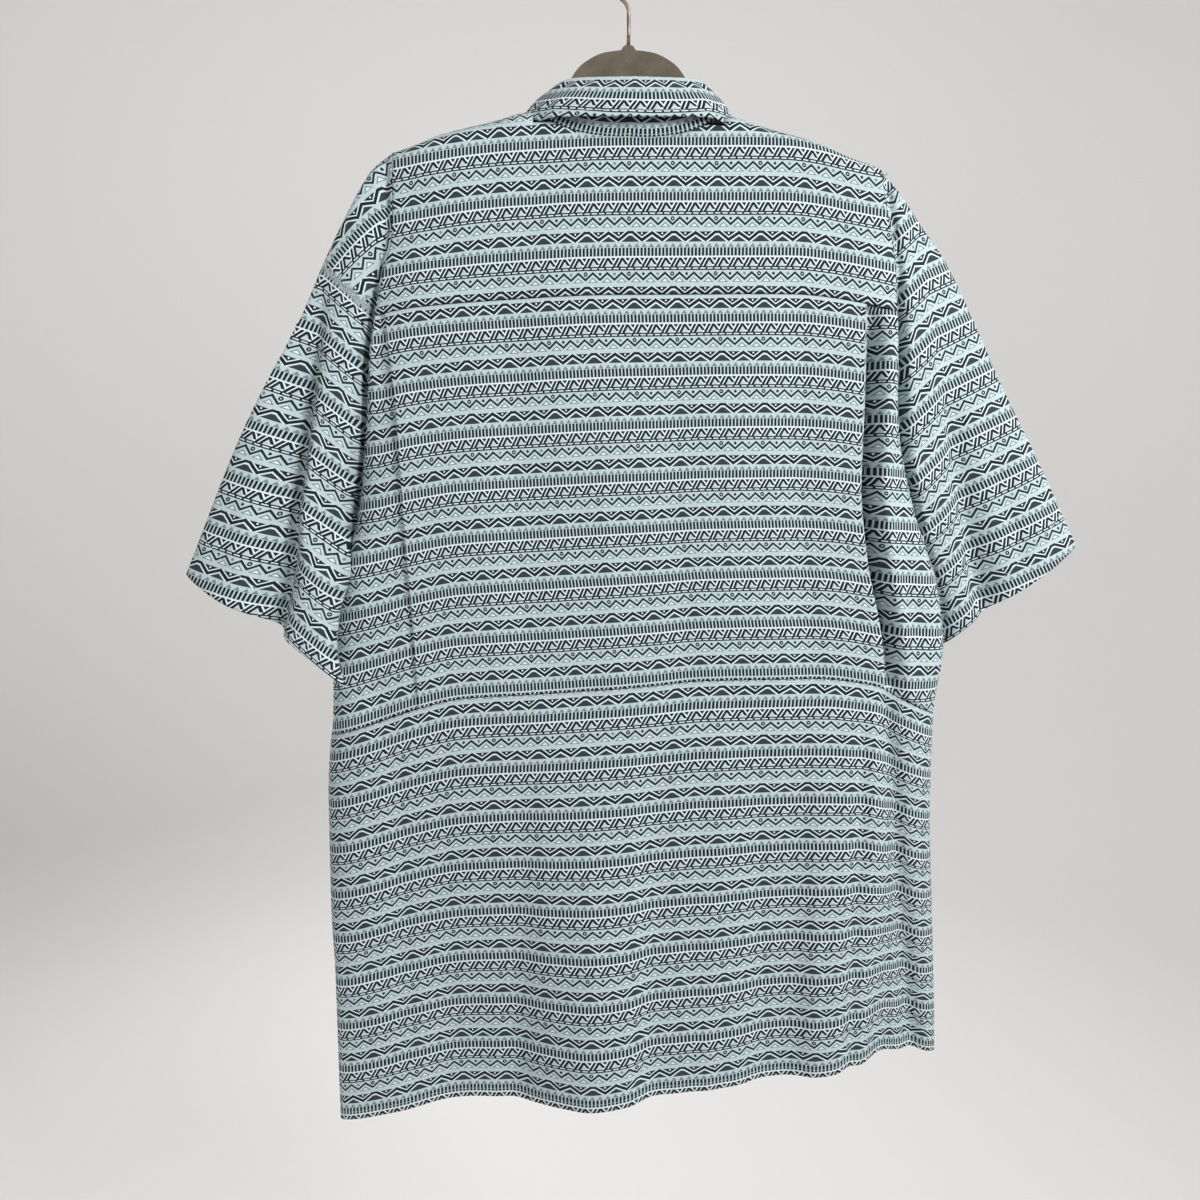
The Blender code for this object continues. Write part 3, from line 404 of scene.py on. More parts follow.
def body_depth(x, drop, face):
    """Where the body's cloth lies in depth, for its back (face -1) or its front (face 1)."""
    side = "left" if x < 0 else "right"
    edge = read(edge_table, side, drop)
    reach = min(max((abs(x) - edge + turn_run) / turn_run, 0.0), 1.0)
    edge_turn = math.radians(read(edge_table, "turn", drop))
    rounding = math.sqrt(max(1 - (reach * math.sin(edge_turn)) ** 2, 0))
    seam = mix(read(depth_table, "left_seam", drop), read(depth_table, "right_seam", drop),
               0.5 + x / (2 * edge))
    wave = ease((drop - 0.60) / 0.44)
    if face < 0:
        radius = 0.014
        profile = mix(-read(depth_table, "back", drop), read(back_hem_wave, "depth", x), wave)
        profile += crease_depth(x, drop, back_creases) + crease_depth(x, drop, back_small_folds)
    else:
        near_neck = math.exp(-(x / 0.090) ** 2)
        radius = 0.016 + 0.050 * near_neck
        flat = mix(read(depth_table, "front_side", drop), read(depth_table, "front_middle", drop),
                   near_neck)
        profile = mix(flat, read(front_hem_wave, "depth", x), wave)
        profile -= crease_depth(x, drop, front_creases) + crease_depth(x, drop, front_small_folds)
    profile += rumple(x, drop, face)
    down = min(max((drop - shoulder_drop(x)) / radius, 0.0), 1.0)
    crown = math.sqrt(1 - (1 - down) ** 2)
    return seam + crown * rounding * (profile - seam) + face * seam_gap * reach


def body_point(x, drop, face, inward=0.0):
    """A place on the body's cloth, moved inward where it lies under another layer."""
    return Vector((x, body_depth(x, drop, face) - face * inward, -drop))


def across_from_edge(side, drop, share):
    """Distance from the middle, evenly spaced round the turn: share 0 at its start, 1 at the edge."""
    turn = math.radians(read(edge_table, "turn", drop))
    return read(edge_table, side, drop) - turn_run + turn_run * math.sin(share * turn) / math.sin(turn)


def outer_column(side, number, drop, inner):
    """Distance from the middle of 24 columns, 12 from the neck hole to the turn and 12 round it."""
    if number <= 12:
        return mix(inner, read(edge_table, side, drop) - turn_run, number / 12)
    return across_from_edge(side, drop, (number - 12) / 12)


def settle(find_x, top, bottom, share):
    """Finds the place of a column in a row between two seams that both change across the cloth."""
    drop = mix(top(0.0), bottom(0.0), share)
    for _ in range(6):
        x = find_x(drop)
        drop = mix(top(x), bottom(x), share)
    return x, drop


def neck_back_drop(x):
    share = min(abs(x) / neck_half_width, 1.0)
    return shoulder_drop(x) + neck_back * (1 - share ** 2.4) ** 0.8


def neck_front_drop(x):
    share = min(abs(x) / neck_half_width, 1.0)
    return shoulder_drop(x) + neck_front * math.sqrt(1 - share ** 2)


def neck_width_at(down):
    return neck_half_width * math.sqrt(max(1 - (down / neck_front) ** 2, 0))


def cloth_piece(name, rows, prints, seams, outward, thickness=0.0007, skip=None):
    """Lays a grid of cloth out point by point, with its place in the print in metres and its distance
    from the stitched edges above and below, and gives it its thickness."""
    across, down = len(rows[0]), len(rows)
    bpy.ops.object.select_all(action="DESELECT")
    bpy.ops.mesh.primitive_grid_add(x_subdivisions=across - 1, y_subdivisions=down - 1, size=1)
    piece = bpy.context.object
    piece.name = piece.data.name = name
    flat = [spot for row in rows for spot in row]
    piece.data.vertices.foreach_set("co", [value for spot in flat for value in spot])
    printed = piece.data.uv_layers[0]
    printed.name = "print"
    sewn = piece.data.uv_layers.new(name="seams")
    print_places = [place for row in prints for place in row]
    seam_places = [place for row in seams for place in row]
    corners = [loop.vertex_index for loop in piece.data.loops]
    printed.data.foreach_set("uv", [value for corner in corners for value in print_places[corner]])
    sewn.data.foreach_set("uv", [value for corner in corners for value in seam_places[corner]])
    piece.data.update()
    bpy.ops.object.mode_set(mode="EDIT")
    bpy.ops.mesh.select_all(action="DESELECT")
    bpy.ops.object.mode_set(mode="OBJECT")
    if skip:
        for face in piece.data.polygons:
            face.select = skip(face.index // (across - 1), face.index % (across - 1))
        bpy.ops.object.mode_set(mode="EDIT")
        bpy.ops.mesh.delete(type="FACE")
        bpy.ops.object.mode_set(mode="OBJECT")
    bpy.ops.object.mode_set(mode="EDIT")
    bpy.ops.mesh.select_all(action="SELECT")
    bpy.ops.mesh.remove_doubles(threshold=0.00002)
    if piece.data.polygons[0].normal.dot(Vector(outward)) < 0:
        bpy.ops.mesh.flip_normals()
    bpy.ops.object.mode_set(mode="OBJECT")
    bpy.ops.object.modifier_add(type="SOLIDIFY")
    wall = piece.modifiers["Solidify"]
    wall.thickness = thickness
    wall.offset = 0
    wall.use_even_offset = True
    bpy.ops.object.modifier_apply(modifier="Solidify")
    bpy.ops.object.shade_smooth()
    return piece


def lengths_along(row):
    """Running length along a row of points."""
    total = [0.0]
    for before, after in zip(row, row[1:]):
        total.append(total[-1] + (Vector(after) - Vector(before)).length)
    return total


def print_across(row, shift):
    """Running length along a row, measured from the middle of the shirt, with the print's shift."""
    total = lengths_along(row)
    middle = min(range(len(row)), key=lambda j: abs(row[j].x))
    return [length - total[middle] + row[middle].x + shift for length in total]


neck_steps = [neck_half_width * math.sin(math.radians(a)) for a in range(-90, 91, 5)]
neck_from, neck_to = 24, 24 + len(neck_steps) - 1


def yoke_column(column, drop, inner):
    if neck_from <= column <= neck_to:
        return neck_steps[column - neck_from] * inner / neck_half_width
    if column < neck_from:
        return -outer_column("left", neck_from - column, drop, inner)
    return outer_column("right", column - neck_to, drop, inner)


columns = 48 + len(neck_steps)
rows = []
for i in range(26):
    row = []
    for j in range(columns):
        x, drop = settle(lambda d: yoke_column(j, d, neck_half_width),
                         lambda x: read(yoke_seam, "drop", x) - curved_seam_gap / 2,
                         lambda x: max(neck_back_drop(x), shoulder_drop(x) + 0.014), i / 26)
        row.append(body_point(x, drop, -1))
    rows.append(row)
for i in range(13):
    row = []
    for j in range(columns):
        x = yoke_column(j, read(shoulder, "drop", 0.2), neck_half_width)
        for _ in range(3):
            top = shoulder_drop(x)
            drop = top + 0.014 * (1 - math.sin(i / 12 * math.pi / 2))
            drop = max(drop, neck_back_drop(x)) if abs(x) < neck_half_width else drop
            x = yoke_column(j, drop, neck_half_width)
        row.append(body_point(x, drop, -1))
    rows.append(row)
for i in range(1, 21):
    row = []
    for j in range(columns):
        down = (yoke_front - seam_gap / 2) * (i / 20) ** 1.5
        x = yoke_column(j, read(shoulder, "drop", 0.2), neck_width_at(down))
        for _ in range(3):
            drop = shoulder_drop(x) + down
            x = yoke_column(j, drop, neck_width_at(down))
        row.append(body_point(x, drop, 1))
    rows.append(row)
up_columns = [lengths_along([row[j] for row in rows]) for j in range(columns)]
prints = [[((p.x + 0.0082) * 1.08, up_columns[j][i] - 0.0067) for j, p in enumerate(row)]
          for i, row in enumerate(rows)]
seams = [[(0.5 + up_columns[j][-1] - up_columns[j][i], up_columns[j][i]) for j in range(columns)]
         for i in range(len(rows))]
yoke = cloth_piece("printed_yoke", rows, prints, seams, (0, -1, 0),
                   skip=lambda i, j: neck_from <= j < neck_to and i >= 26)


# The printed cotton: pale aqua, with dark blue rows of zigzags, bars, strokes and small triangles,
# 45 mm from one repeat to the next. Each shape is worked out from the place in the cloth.
def expression_tools(tree):
    """Gives short ways to add maths to one node tree."""
    def number(operation, *values, clamp=False):
        made = node_of(tree, "ShaderNodeMath", operation=operation, use_clamp=clamp)
        for socket, value in zip(made.inputs, values):
            if isinstance(value, bpy.types.NodeSocket):
                tree.links.new(value, socket)
            else:
                socket.default_value = value
        return made.outputs[0]

    def between(value, low, high):
        return number("MULTIPLY", number("GREATER_THAN", value, low), number("LESS_THAN", value, high))

    def peaks(along, pitch):
        """Rises from 0 to 1 and falls back once in each pitch."""
        return number("MULTIPLY", number("PINGPONG", number("DIVIDE", along, pitch), 0.5), 2.0)

    def both(*masks):
        total = masks[0]
        for mask in masks[1:]:
            total = number("MULTIPLY", total, mask)
        return total

    def either(*masks):
        total = masks[0]
        for mask in masks[1:]:
            total = number("MAXIMUM", total, mask)
        return total

    def near(value, target, reach):
        return number("LESS_THAN", number("ABSOLUTE", number("SUBTRACT", value, target)), reach)

    return number, between, peaks, both, either, near


repeat_height = 0.045
repeat_width = 0.0395
border = bpy.data.node_groups.new("border print", "ShaderNodeTree")
border.interface.new_socket("Place", in_out="INPUT", socket_type="NodeSocketVector")
for mask_name in ("Faint", "Filled", "White", "Ink"):
    border.interface.new_socket(mask_name, in_out="OUTPUT", socket_type="NodeSocketFloat")
number, between, peaks, both, either, near = expression_tools(border)
entry = node_of(border, "NodeGroupInput").outputs["Place"]
parts = node_of(border, "ShaderNodeSeparateXYZ")
border.links.new(entry, parts.inputs[0])
along, up = parts.outputs["X"], parts.outputs["Y"]
down = number("FRACT", number("DIVIDE", up, -repeat_height))

# row one: a heavy zigzag in a white border, a large flat-topped and a small peak in turn, with a
# filled triangle under each peak and a dotted one over each valley
cycle = number("FRACT", number("DIVIDE", along, repeat_width))
big = number("SUBTRACT", 0.265, number("ABSOLUTE", number("SUBTRACT", cycle, 0.265)))
big = number("MINIMUM", number("MULTIPLY", big, 0.66), 0.150)
small = number("SUBTRACT", 0.235, number("ABSOLUTE", number("SUBTRACT", cycle, 0.765)))
hill = number("MAXIMUM", big, number("MULTIPLY", small, 0.56))
off = number("SUBTRACT", down, number("SUBTRACT", 0.165, hill))
in_row = number("LESS_THAN", down, 0.197)
zigzag = both(in_row, near(off, 0.0, 0.034))
zigzag_white = both(in_row, near(off, 0.0, 0.058))
under_peak = both(in_row, number("GREATER_THAN", off, 0.070))
over_valley = both(number("GREATER_THAN", down, 0.014), number("LESS_THAN", off, -0.060), in_row)
valley = number("MINIMUM", number("ABSOLUTE", number("SUBTRACT", cycle, 0.53)),
                number("MINIMUM", cycle, number("SUBTRACT", 1.0, cycle)))
dot_reach = number("ADD", number("POWER", number("MULTIPLY", valley, repeat_width), 2.0),
                   number("POWER", number("MULTIPLY", number("SUBTRACT", down, 0.044), repeat_height), 2.0))
valley_dot = both(in_row, number("LESS_THAN", dot_reach, 0.0008 ** 2))

# row two: faint grey triangles; row three: upright bars over a white line
tooth = peaks(along, repeat_width / 6)
row = number("DIVIDE", number("SUBTRACT", down, 0.222), 0.073)
faint = both(between(down, 0.222, 0.295),
             number("GREATER_THAN", tooth, number("SUBTRACT", 1.0, number("MULTIPLY", row, 0.78))))
bar_row = between(down, 0.303, 0.453)
bars = both(bar_row, number("LESS_THAN", number("FRACT", number("DIVIDE", along, repeat_width / 12)), 0.63))
bar_white = between(down, 0.458, 0.476)

# row four: leaning strokes that make open triangles, with a small dark wedge between one and the next
row = number("DIVIDE", number("SUBTRACT", down, 0.486), 0.168)
in_row = between(down, 0.486, 0.654)
third = number("DIVIDE", along, repeat_width / 3)
lean = number("FRACT", number("ADD", third, number("SUBTRACT", number("MULTIPLY", row, 0.343), 0.895)))
strokes = both(in_row, either(number("LESS_THAN", lean, 0.185), near(lean, 0.365, 0.095)))
leg_place = number("SUBTRACT", lean, number("ADD", 0.34, number("MULTIPLY", row, 0.779)))
legs = both(in_row, near(leg_place, 0.0, 0.105), number("LESS_THAN", row, 0.74))
wedge = both(in_row, number("LESS_THAN", lean, 0.885),
             number("GREATER_THAN", lean, number("ADD", 0.555, number("MULTIPLY", row, 0.828))))
inside = both(number("GREATER_THAN", lean, 0.43), number("LESS_THAN", leg_place, -0.14))
stroke_white = both(between(down, 0.476, 0.654), number("SUBTRACT", 1.0, inside))

# row five: a ladder of two lines with short rungs
rails = either(between(down, 0.645, 0.670), between(down, 0.691, 0.716))
rung = both(between(down, 0.650, 0.712),
            number("LESS_THAN", number("FRACT", number("DIVIDE", along, repeat_width / 6)), 0.27))
ladder_white = between(down, 0.670, 0.691)

# row six: a thin zigzag with a grey and white triangle under each peak and a dot over each valley
along = number("SUBTRACT", along, repeat_width * 0.235)
wave = peaks(along, repeat_width / 3)
fall = number("SUBTRACT", 1.0, wave)
in_row = between(down, 0.716, 0.935)
off = number("SUBTRACT", down, number("SUBTRACT", 0.882, number("MULTIPLY", wave, 0.122)))
thin = both(in_row, near(off, 0.0, 0.0255))
below = both(number("GREATER_THAN", down, number("ADD", 0.838, number("MULTIPLY", fall, 0.128))),
             number("LESS_THAN", down, 0.934))
below_white = both(number("GREATER_THAN", down, number("ADD", 0.866, number("MULTIPLY", fall, 0.128))),
                   number("LESS_THAN", down, 0.919))
third = number("DIVIDE", along, repeat_width / 3)
nearest = number("ROUND", third)
turn_taken = number("FLOORED_MODULO", nearest, 3.0)
reach = number("SQRT", number("ADD", number("POWER", number("MULTIPLY", number("SUBTRACT", third, nearest),
                                                            repeat_width / 3), 2.0),
                              number("POWER", number("MULTIPLY", number("SUBTRACT", down, 0.778),
                                                     repeat_height), 2.0)))
large_dot = both(near(turn_taken, 0.0, 0.5), near(reach, 0.00125, 0.00060))
middle_dot = both(near(turn_taken, 1.0, 0.5), number("LESS_THAN", reach, 0.00125))
ring = both(in_row, near(turn_taken, 2.0, 0.5), number("LESS_THAN", reach, 0.0013))
dots = both(in_row, either(large_dot, middle_dot))

leave = node_of(border, "NodeGroupOutput")
for mask_name, mask in (
        ("Faint", either(faint, below, ring)),
        ("Filled", under_peak),
        ("White", either(zigzag_white, bar_white, stroke_white, ladder_white, below_white, valley_dot)),
        ("Ink", either(zigzag, number("SUBTRACT", over_valley, valley_dot, clamp=True), bars, strokes, legs,
                       wedge, rails, rung, thin, dots))):
    border.links.new(mask, leave.inputs[mask_name])

# The weave: threads a third of a millimetre apart, uneven in thickness, that lift the surface a
# little and take the ink unevenly.
weave = bpy.data.node_groups.new("cotton weave", "ShaderNodeTree")
weave.interface.new_socket("Place", in_out="INPUT", socket_type="NodeSocketVector")
weave.interface.new_socket("Thread spacing", in_out="INPUT", socket_type="NodeSocketFloat")
weave.interface.new_socket("Height", in_out="OUTPUT", socket_type="NodeSocketFloat")
weave.interface.new_socket("Unevenness", in_out="OUTPUT", socket_type="NodeSocketFloat")
number, between, peaks, both, either, near = expression_tools(weave)
entry = node_of(weave, "NodeGroupInput")
parts = node_of(weave, "ShaderNodeSeparateXYZ")
weave.links.new(entry.outputs["Place"], parts.inputs[0])
turns = number("DIVIDE", math.pi, entry.outputs["Thread spacing"])
warp = number("SINE", number("MULTIPLY", parts.outputs["X"], turns))
weft = number("SINE", number("MULTIPLY", parts.outputs["Y"], turns))
woven = number("MULTIPLY_ADD", number("MULTIPLY", warp, weft), 0.5, 0.5)
slub = node_of(weave, "ShaderNodeTexNoise")
slub.inputs["Scale"].default_value = 1.0
slub.inputs["Detail"].default_value = 3.0
stretch = node_of(weave, "ShaderNodeVectorMath", operation="MULTIPLY")
stretch.inputs[1].default_value = (900, 160, 1)
weave.links.new(entry.outputs["Place"], stretch.inputs[0])
weave.links.new(stretch.outputs[0], slub.inputs["Vector"])
leave = node_of(weave, "NodeGroupOutput")
weave.links.new(number("ADD", woven, number("MULTIPLY", slub.outputs["Fac"], 0.6)), leave.inputs["Height"])
weave.links.new(slub.outputs["Fac"], leave.inputs["Unevenness"])

# Stitching: a row of short stitches sunk into the cloth at a set distance from an edge, and the
# step where the folded edge behind it ends.
stitching = bpy.data.node_groups.new("stitching", "ShaderNodeTree")
for socket_name, kind in (("Along", "NodeSocketFloat"), ("Distance", "NodeSocketFloat"),
                          ("Offset", "NodeSocketFloat"), ("Stitch length", "NodeSocketFloat")):
    stitching.interface.new_socket(socket_name, in_out="INPUT", socket_type=kind)
stitching.interface.new_socket("Thread", in_out="OUTPUT", socket_type="NodeSocketFloat")
stitching.interface.new_socket("Height", in_out="OUTPUT", socket_type="NodeSocketFloat")
number, between, peaks, both, either, near = expression_tools(stitching)
entry = node_of(stitching, "NodeGroupInput").outputs
beside = number("ABSOLUTE", number("SUBTRACT", entry["Distance"], entry["Offset"]))
beat = number("FRACT", number("DIVIDE", entry["Along"], entry["Stitch length"]))
thread = both(number("LESS_THAN", beside, 0.00028), number("LESS_THAN", beat, 0.78))
furrow = number("SUBTRACT", 1.0, number("DIVIDE", beside, 0.0016), clamp=True)
folded = number("LESS_THAN", entry["Distance"], entry["Offset"])
leave = node_of(stitching, "NodeGroupOutput")
stitching.links.new(thread, leave.inputs["Thread"])
stitching.links.new(number("SUBTRACT", number("MULTIPLY", folded, 0.25), furrow), leave.inputs["Height"])


def printed_cotton(name, upper_stitch, lower_stitch, weave_lift=0.00006):
    """The cloth of one piece, with its stitches at given distances from its upper and lower edges."""
    cotton = bpy.data.materials.new(name)
    cotton.use_nodes = True
    tree = cotton.node_tree
    number, between, peaks, both, either, near = expression_tools(tree)
    shader = tree.nodes["Principled BSDF"]
    shader.inputs["Roughness"].default_value = 0.82
    shader.inputs["Sheen Weight"].default_value = 0.03
    shader.inputs["Specular IOR Level"].default_value = 0.25
    shader.inputs["Sheen Roughness"].default_value = 0.5
    place = node_of(tree, "ShaderNodeUVMap", uv_map="print").outputs["UV"]
    edges = node_of(tree, "ShaderNodeSeparateXYZ")
    tree.links.new(node_of(tree, "ShaderNodeUVMap", uv_map="seams").outputs["UV"], edges.inputs[0])
    along = node_of(tree, "ShaderNodeSeparateXYZ")
    tree.links.new(place, along.inputs[0])
    cloth = node_of(tree, "ShaderNodeGroup", node_tree=weave)
    cloth.inputs["Thread spacing"].default_value = 0.00034
    tree.links.new(place, cloth.inputs["Place"])
    bled = node_of(tree, "ShaderNodeVectorMath", operation="MULTIPLY_ADD")
    wander = node_of(tree, "ShaderNodeTexNoise")
    wander.inputs["Scale"].default_value = 420
    tree.links.new(place, wander.inputs["Vector"])
    centred = node_of(tree, "ShaderNodeVectorMath", operation="SUBTRACT")
    centred.inputs[1].default_value = (0.5, 0.5, 0.5)
    tree.links.new(wander.outputs["Color"], centred.inputs[0])
    tree.links.new(centred.outputs[0], bled.inputs[0])
    bled.inputs[1].default_value = (0.0003, 0.0003, 0)
    tree.links.new(place, bled.inputs[2])
    drawn = node_of(tree, "ShaderNodeGroup", node_tree=border)
    tree.links.new(bled.outputs[0], drawn.inputs["Place"])
    sewn = []
    for edge, offset in ((edges.outputs["X"], upper_stitch), (edges.outputs["Y"], lower_stitch)):
        row = node_of(tree, "ShaderNodeGroup", node_tree=stitching)
        row.inputs["Offset"].default_value = offset
        row.inputs["Stitch length"].default_value = 0.0026
        tree.links.new(along.outputs["X"], row.inputs["Along"])
        tree.links.new(edge, row.inputs["Distance"])
        sewn.append(row)
    thread = either(sewn[0].outputs["Thread"], sewn[1].outputs["Thread"])
    colour = None
    for mask, inked in (
            (None, (0.465, 0.570, 0.592, 1)), (drawn.outputs["Faint"], (0.185, 0.235, 0.255, 1)),
            (drawn.outputs["Filled"], (0.028, 0.042, 0.052, 1)),
            (drawn.outputs["White"], (0.700, 0.780, 0.800, 1)),
            (drawn.outputs["Ink"], (0.006, 0.015, 0.022, 1)), (thread, (0.36, 0.48, 0.50, 1))):
        if mask is None:
            worn = node_of(tree, "ShaderNodeTexNoise")
            worn.inputs["Scale"].default_value = 9
            worn.inputs["Detail"].default_value = 4
            tree.links.new(place, worn.inputs["Vector"])
            base = node_of(tree, "ShaderNodeMix", data_type="RGBA")
            base.inputs["A"].default_value = inked
            base.inputs["B"].default_value = (0.505, 0.612, 0.622, 1)
            tree.links.new(worn.outputs["Fac"], base.inputs["Factor"])
            colour = base.outputs["Result"]
            continue
        layer = node_of(tree, "ShaderNodeMix", data_type="RGBA")
        tree.links.new(colour, layer.inputs["A"])
        layer.inputs["B"].default_value = inked
        tree.links.new(mask, layer.inputs["Factor"])
        colour = layer.outputs["Result"]
    dusty = node_of(tree, "ShaderNodeMix", data_type="RGBA", blend_type="MULTIPLY")
    dusty.inputs["Factor"].default_value = 1.0
    tree.links.new(colour, dusty.inputs["A"])
    shade = node_of(tree, "ShaderNodeMapRange")
    shade.inputs["To Min"].default_value = 0.88
    shade.inputs["To Max"].default_value = 1.08
    tree.links.new(cloth.outputs["Unevenness"], shade.inputs["Value"])
    tree.links.new(shade.outputs["Result"], dusty.inputs["B"])
    tree.links.new(dusty.outputs["Result"], shader.inputs["Base Color"])
    fine = node_of(tree, "ShaderNodeBump")
    fine.inputs["Strength"].default_value = 0.5
    fine.inputs["Distance"].default_value = weave_lift
    tree.links.new(cloth.outputs["Height"], fine.inputs["Height"])
    sunk = node_of(tree, "ShaderNodeBump")
    sunk.inputs["Strength"].default_value = 0.7
    sunk.inputs["Distance"].default_value = 0.0005
    tree.links.new(number("ADD", sewn[0].outputs["Height"], sewn[1].outputs["Height"]),
                   sunk.inputs["Height"])
    tree.links.new(fine.outputs["Normal"], sunk.inputs["Normal"])
    tree.links.new(sunk.outputs["Normal"], shader.inputs["Normal"])
    return cotton


def dress(piece, node, cotton):
    """Gives a cloth piece its material and its place on the shirt, with the size it was cut to."""
    piece.data.materials.clear()
    piece.data.materials.append(cotton)
    finished(piece, node)


dress(yoke, "yoke", printed_cotton("yoke cotton", 0.0022, 0.5))


# The upper back hangs from the yoke seam to the waist seam. Near each armhole it is folded into an
# action pleat, pressed flat at both seams and free to open between them.
waist_seam = table("across drop", [
    (-0.2705, 0.6770), (-0.2266, 0.6627), (-0.1867, 0.6489), (-0.1472, 0.6397), (-0.0775, 0.6352),
    (0.0223, 0.6279), (0.0722, 0.6233), (0.1718, 0.6215), (0.2201, 0.6275), (0.2449, 0.6400),
    (0.2860, 0.6600)])
pleat_table = table("drop left right", [
    (0.290, 0.2085, 0.2025), (0.343, 0.2038, 0.2030), (0.381, 0.1999, 0.2030), (0.446, 0.1965, 0.2023),
    (0.518, 0.1930, 0.2104), (0.560, 0.1900, 0.2200), (0.594, 0.1885, 0.2267), (0.640, 0.1864, 0.2310)])
pleat_underlay = 0.016
pleat_pitch = {"left": 0.0026, "right": 0.0036}


def pleat_columns(side):
    """Columns from the armhole to the pleat's folded edge, each a distance from the middle and how
    many layers deep it lies."""
    radius = pleat_pitch[side] / 2
    rules = []
    for k in range(17):
        share = 1.0 - 0.70 * k / 16
        rules.append(lambda drop, s=share: (
            mix(read(pleat_table, side, drop) + 0.003, read(edge_table, side, drop), s),
            2.0 * (1 - ease((s - 0.3) / 0.7))))
    for k in range(8):
        rules.append(lambda drop, s=(k + 1) / 8: (
            mix(mix(read(pleat_table, side, drop) + 0.003, read(edge_table, side, drop), 0.3),
                read(pleat_table, side, drop) - pleat_underlay, s), 2.0))
    for k in range(1, 8):
        angle = math.pi * k / 8
        rules.append(lambda drop, a=angle: (read(pleat_table, side, drop) - pleat_underlay + radius
                                            - radius * (1 + math.sin(a)), 1.5 + 0.5 * math.cos(a)))
    for k in range(5):
        rules.append(lambda drop, s=k / 4: (
            read(pleat_table, side, drop) - mix(pleat_underlay, radius, s), 1.0))
    for k in range(1, 9):
        angle = math.pi * k / 8
        rules.append(lambda drop, a=angle: (read(pleat_table, side, drop) - radius + radius * math.sin(a),
                                            0.5 + 0.5 * math.cos(a)))
    return rules


def upper_back_top(x):
    return read(yoke_seam, "drop", x) + curved_seam_gap / 2


def upper_back_bottom(x):
    return read(waist_seam, "drop", x) - curved_seam_gap / 2


left_pleat, right_pleat = pleat_columns("left"), pleat_columns("right")
rows = []
for i in range(101):
    share = i / 100
    pressed = 0.35 + 0.65 * math.sin(math.pi * min(max(share, 0.0), 1.0)) ** 0.6
    row = []
    for rule in left_pleat:
        x, drop = settle(lambda d: -rule(d)[0], upper_back_top, upper_back_bottom, share)
        row.append(body_point(x, drop, -1, rule(drop)[1] * pleat_pitch["left"] * pressed))
    for k in range(1, 100):
        x, drop = settle(
            lambda d: mix(-read(pleat_table, "left", d), read(pleat_table, "right", d), k / 100),
            upper_back_top, upper_back_bottom, share)
        row.append(body_point(x, drop, -1))
    for number_of, rule in enumerate(reversed(right_pleat)):
        x, drop = settle(lambda d: rule(d)[0], upper_back_top, upper_back_bottom, share)
        past = x - read(pleat_table, "right", drop)
        dip = (0.026 * math.exp(-((past - 0.005) / 0.0065) ** 2)
               - 0.010 * math.exp(-((past - 0.021) / 0.009) ** 2))
        dip *= math.sin(math.pi * share) ** 0.5 * (number_of >= 13)
        row.append(body_point(x, drop, -1, rule(drop)[1] * pleat_pitch["right"] * pressed + dip))
    rows.append(row)
across_cloth = print_across(rows[50], -0.0015)
prints = []
for i, row in enumerate(rows):
    share = i / 100
    fold_at, fold_drop = settle(lambda d: read(pleat_table, "right", d), upper_back_top,
                                upper_back_bottom, share)
    placed = []
    for j, p in enumerate(row):
        past = j - len(row) + len(right_pleat)
        level = -p.z - fold_drop - 0.08 * (p.x - fold_at) + 0.0165 - 0.0185 * share
        hidden = min(max(past / 7, 0.0), 1.0)
        run = p.x - 0.0015 if j < 25 or past > 14 else across_cloth[j]
        placed.append((run * 1.11, -0.3415 * share + 0.0026 - level * hidden))
    prints.append(placed)
seams = [[(0.34 * i / 100, 0.34 * (1 - i / 100)) for j in range(len(rows[0]))] for i in range(101)]
upper_back = cloth_piece("printed_upper_back", rows, prints, seams, (-1, -1, 0))
dress(upper_back, "upper_back", printed_cotton("upper back cotton", 0.5, 0.0022))


# The lower back hangs from the waist seam to the straight hem, where its folds open out. The hem is
# turned up and stitched 8 mm from its edge.
back_hem = table("across drop", [
    (-0.274, 1.056), (-0.150, 1.040), (0.000, 1.0285), (0.150, 1.0175), (0.258, 1.004), (0.312, 1.010)])


def edge_columns(inner_count, turn_count):
    """Column rules from the left edge to the right one, closer together round each turn."""
    turns = [k / turn_count for k in range(turn_count, 0, -1)]
    rules = [lambda drop, s=s: -across_from_edge("left", drop, s) for s in turns]
    for k in range(inner_count + 1):
        rules.append(lambda drop, s=k / inner_count: mix(-read(edge_table, "left", drop) + turn_run,
                                                         read(edge_table, "right", drop) - turn_run, s))
    rules += [lambda drop, s=s: across_from_edge("right", drop, s) for s in reversed(turns)]
    return rules


rows = []
for i in range(121):
    row = []
    for rule in edge_columns(150, 10):
        x, drop = settle(rule, lambda x: read(waist_seam, "drop", x) + curved_seam_gap / 2,
                         lambda x: read(back_hem, "drop", x), i / 120)
        row.append(body_point(x, drop, -1))
    rows.append(row)
across_cloth = print_across(rows[60], 0.0069)
prints = [[(across_cloth[j] * 0.94, -0.3900 * i / 120 + 0.004) for j in range(len(rows[0]))]
          for i in range(121)]
seams = [[(0.395 * i / 120, 0.395 * (1 - i / 120)) for j in range(len(rows[0]))] for i in range(121)]
lower_back = cloth_piece("printed_lower_back", rows, prints, seams, (-1, -1, 0))
dress(lower_back, "lower_back", printed_cotton("lower back cotton", 0.0022, 0.008))


# The two fronts hang from the yoke and the neck seam, hidden from the photograph. The wearer's right
# one dives under the left one at the middle, where the buttons close them.
front_hem = table("across drop", [
    (-0.274, 1.056), (-0.150, 1.073), (0.050, 1.068), (0.180, 1.045), (0.250, 1.022), (0.312, 1.010)])
placket_width = 0.032
cloth_thickness = 0.0012


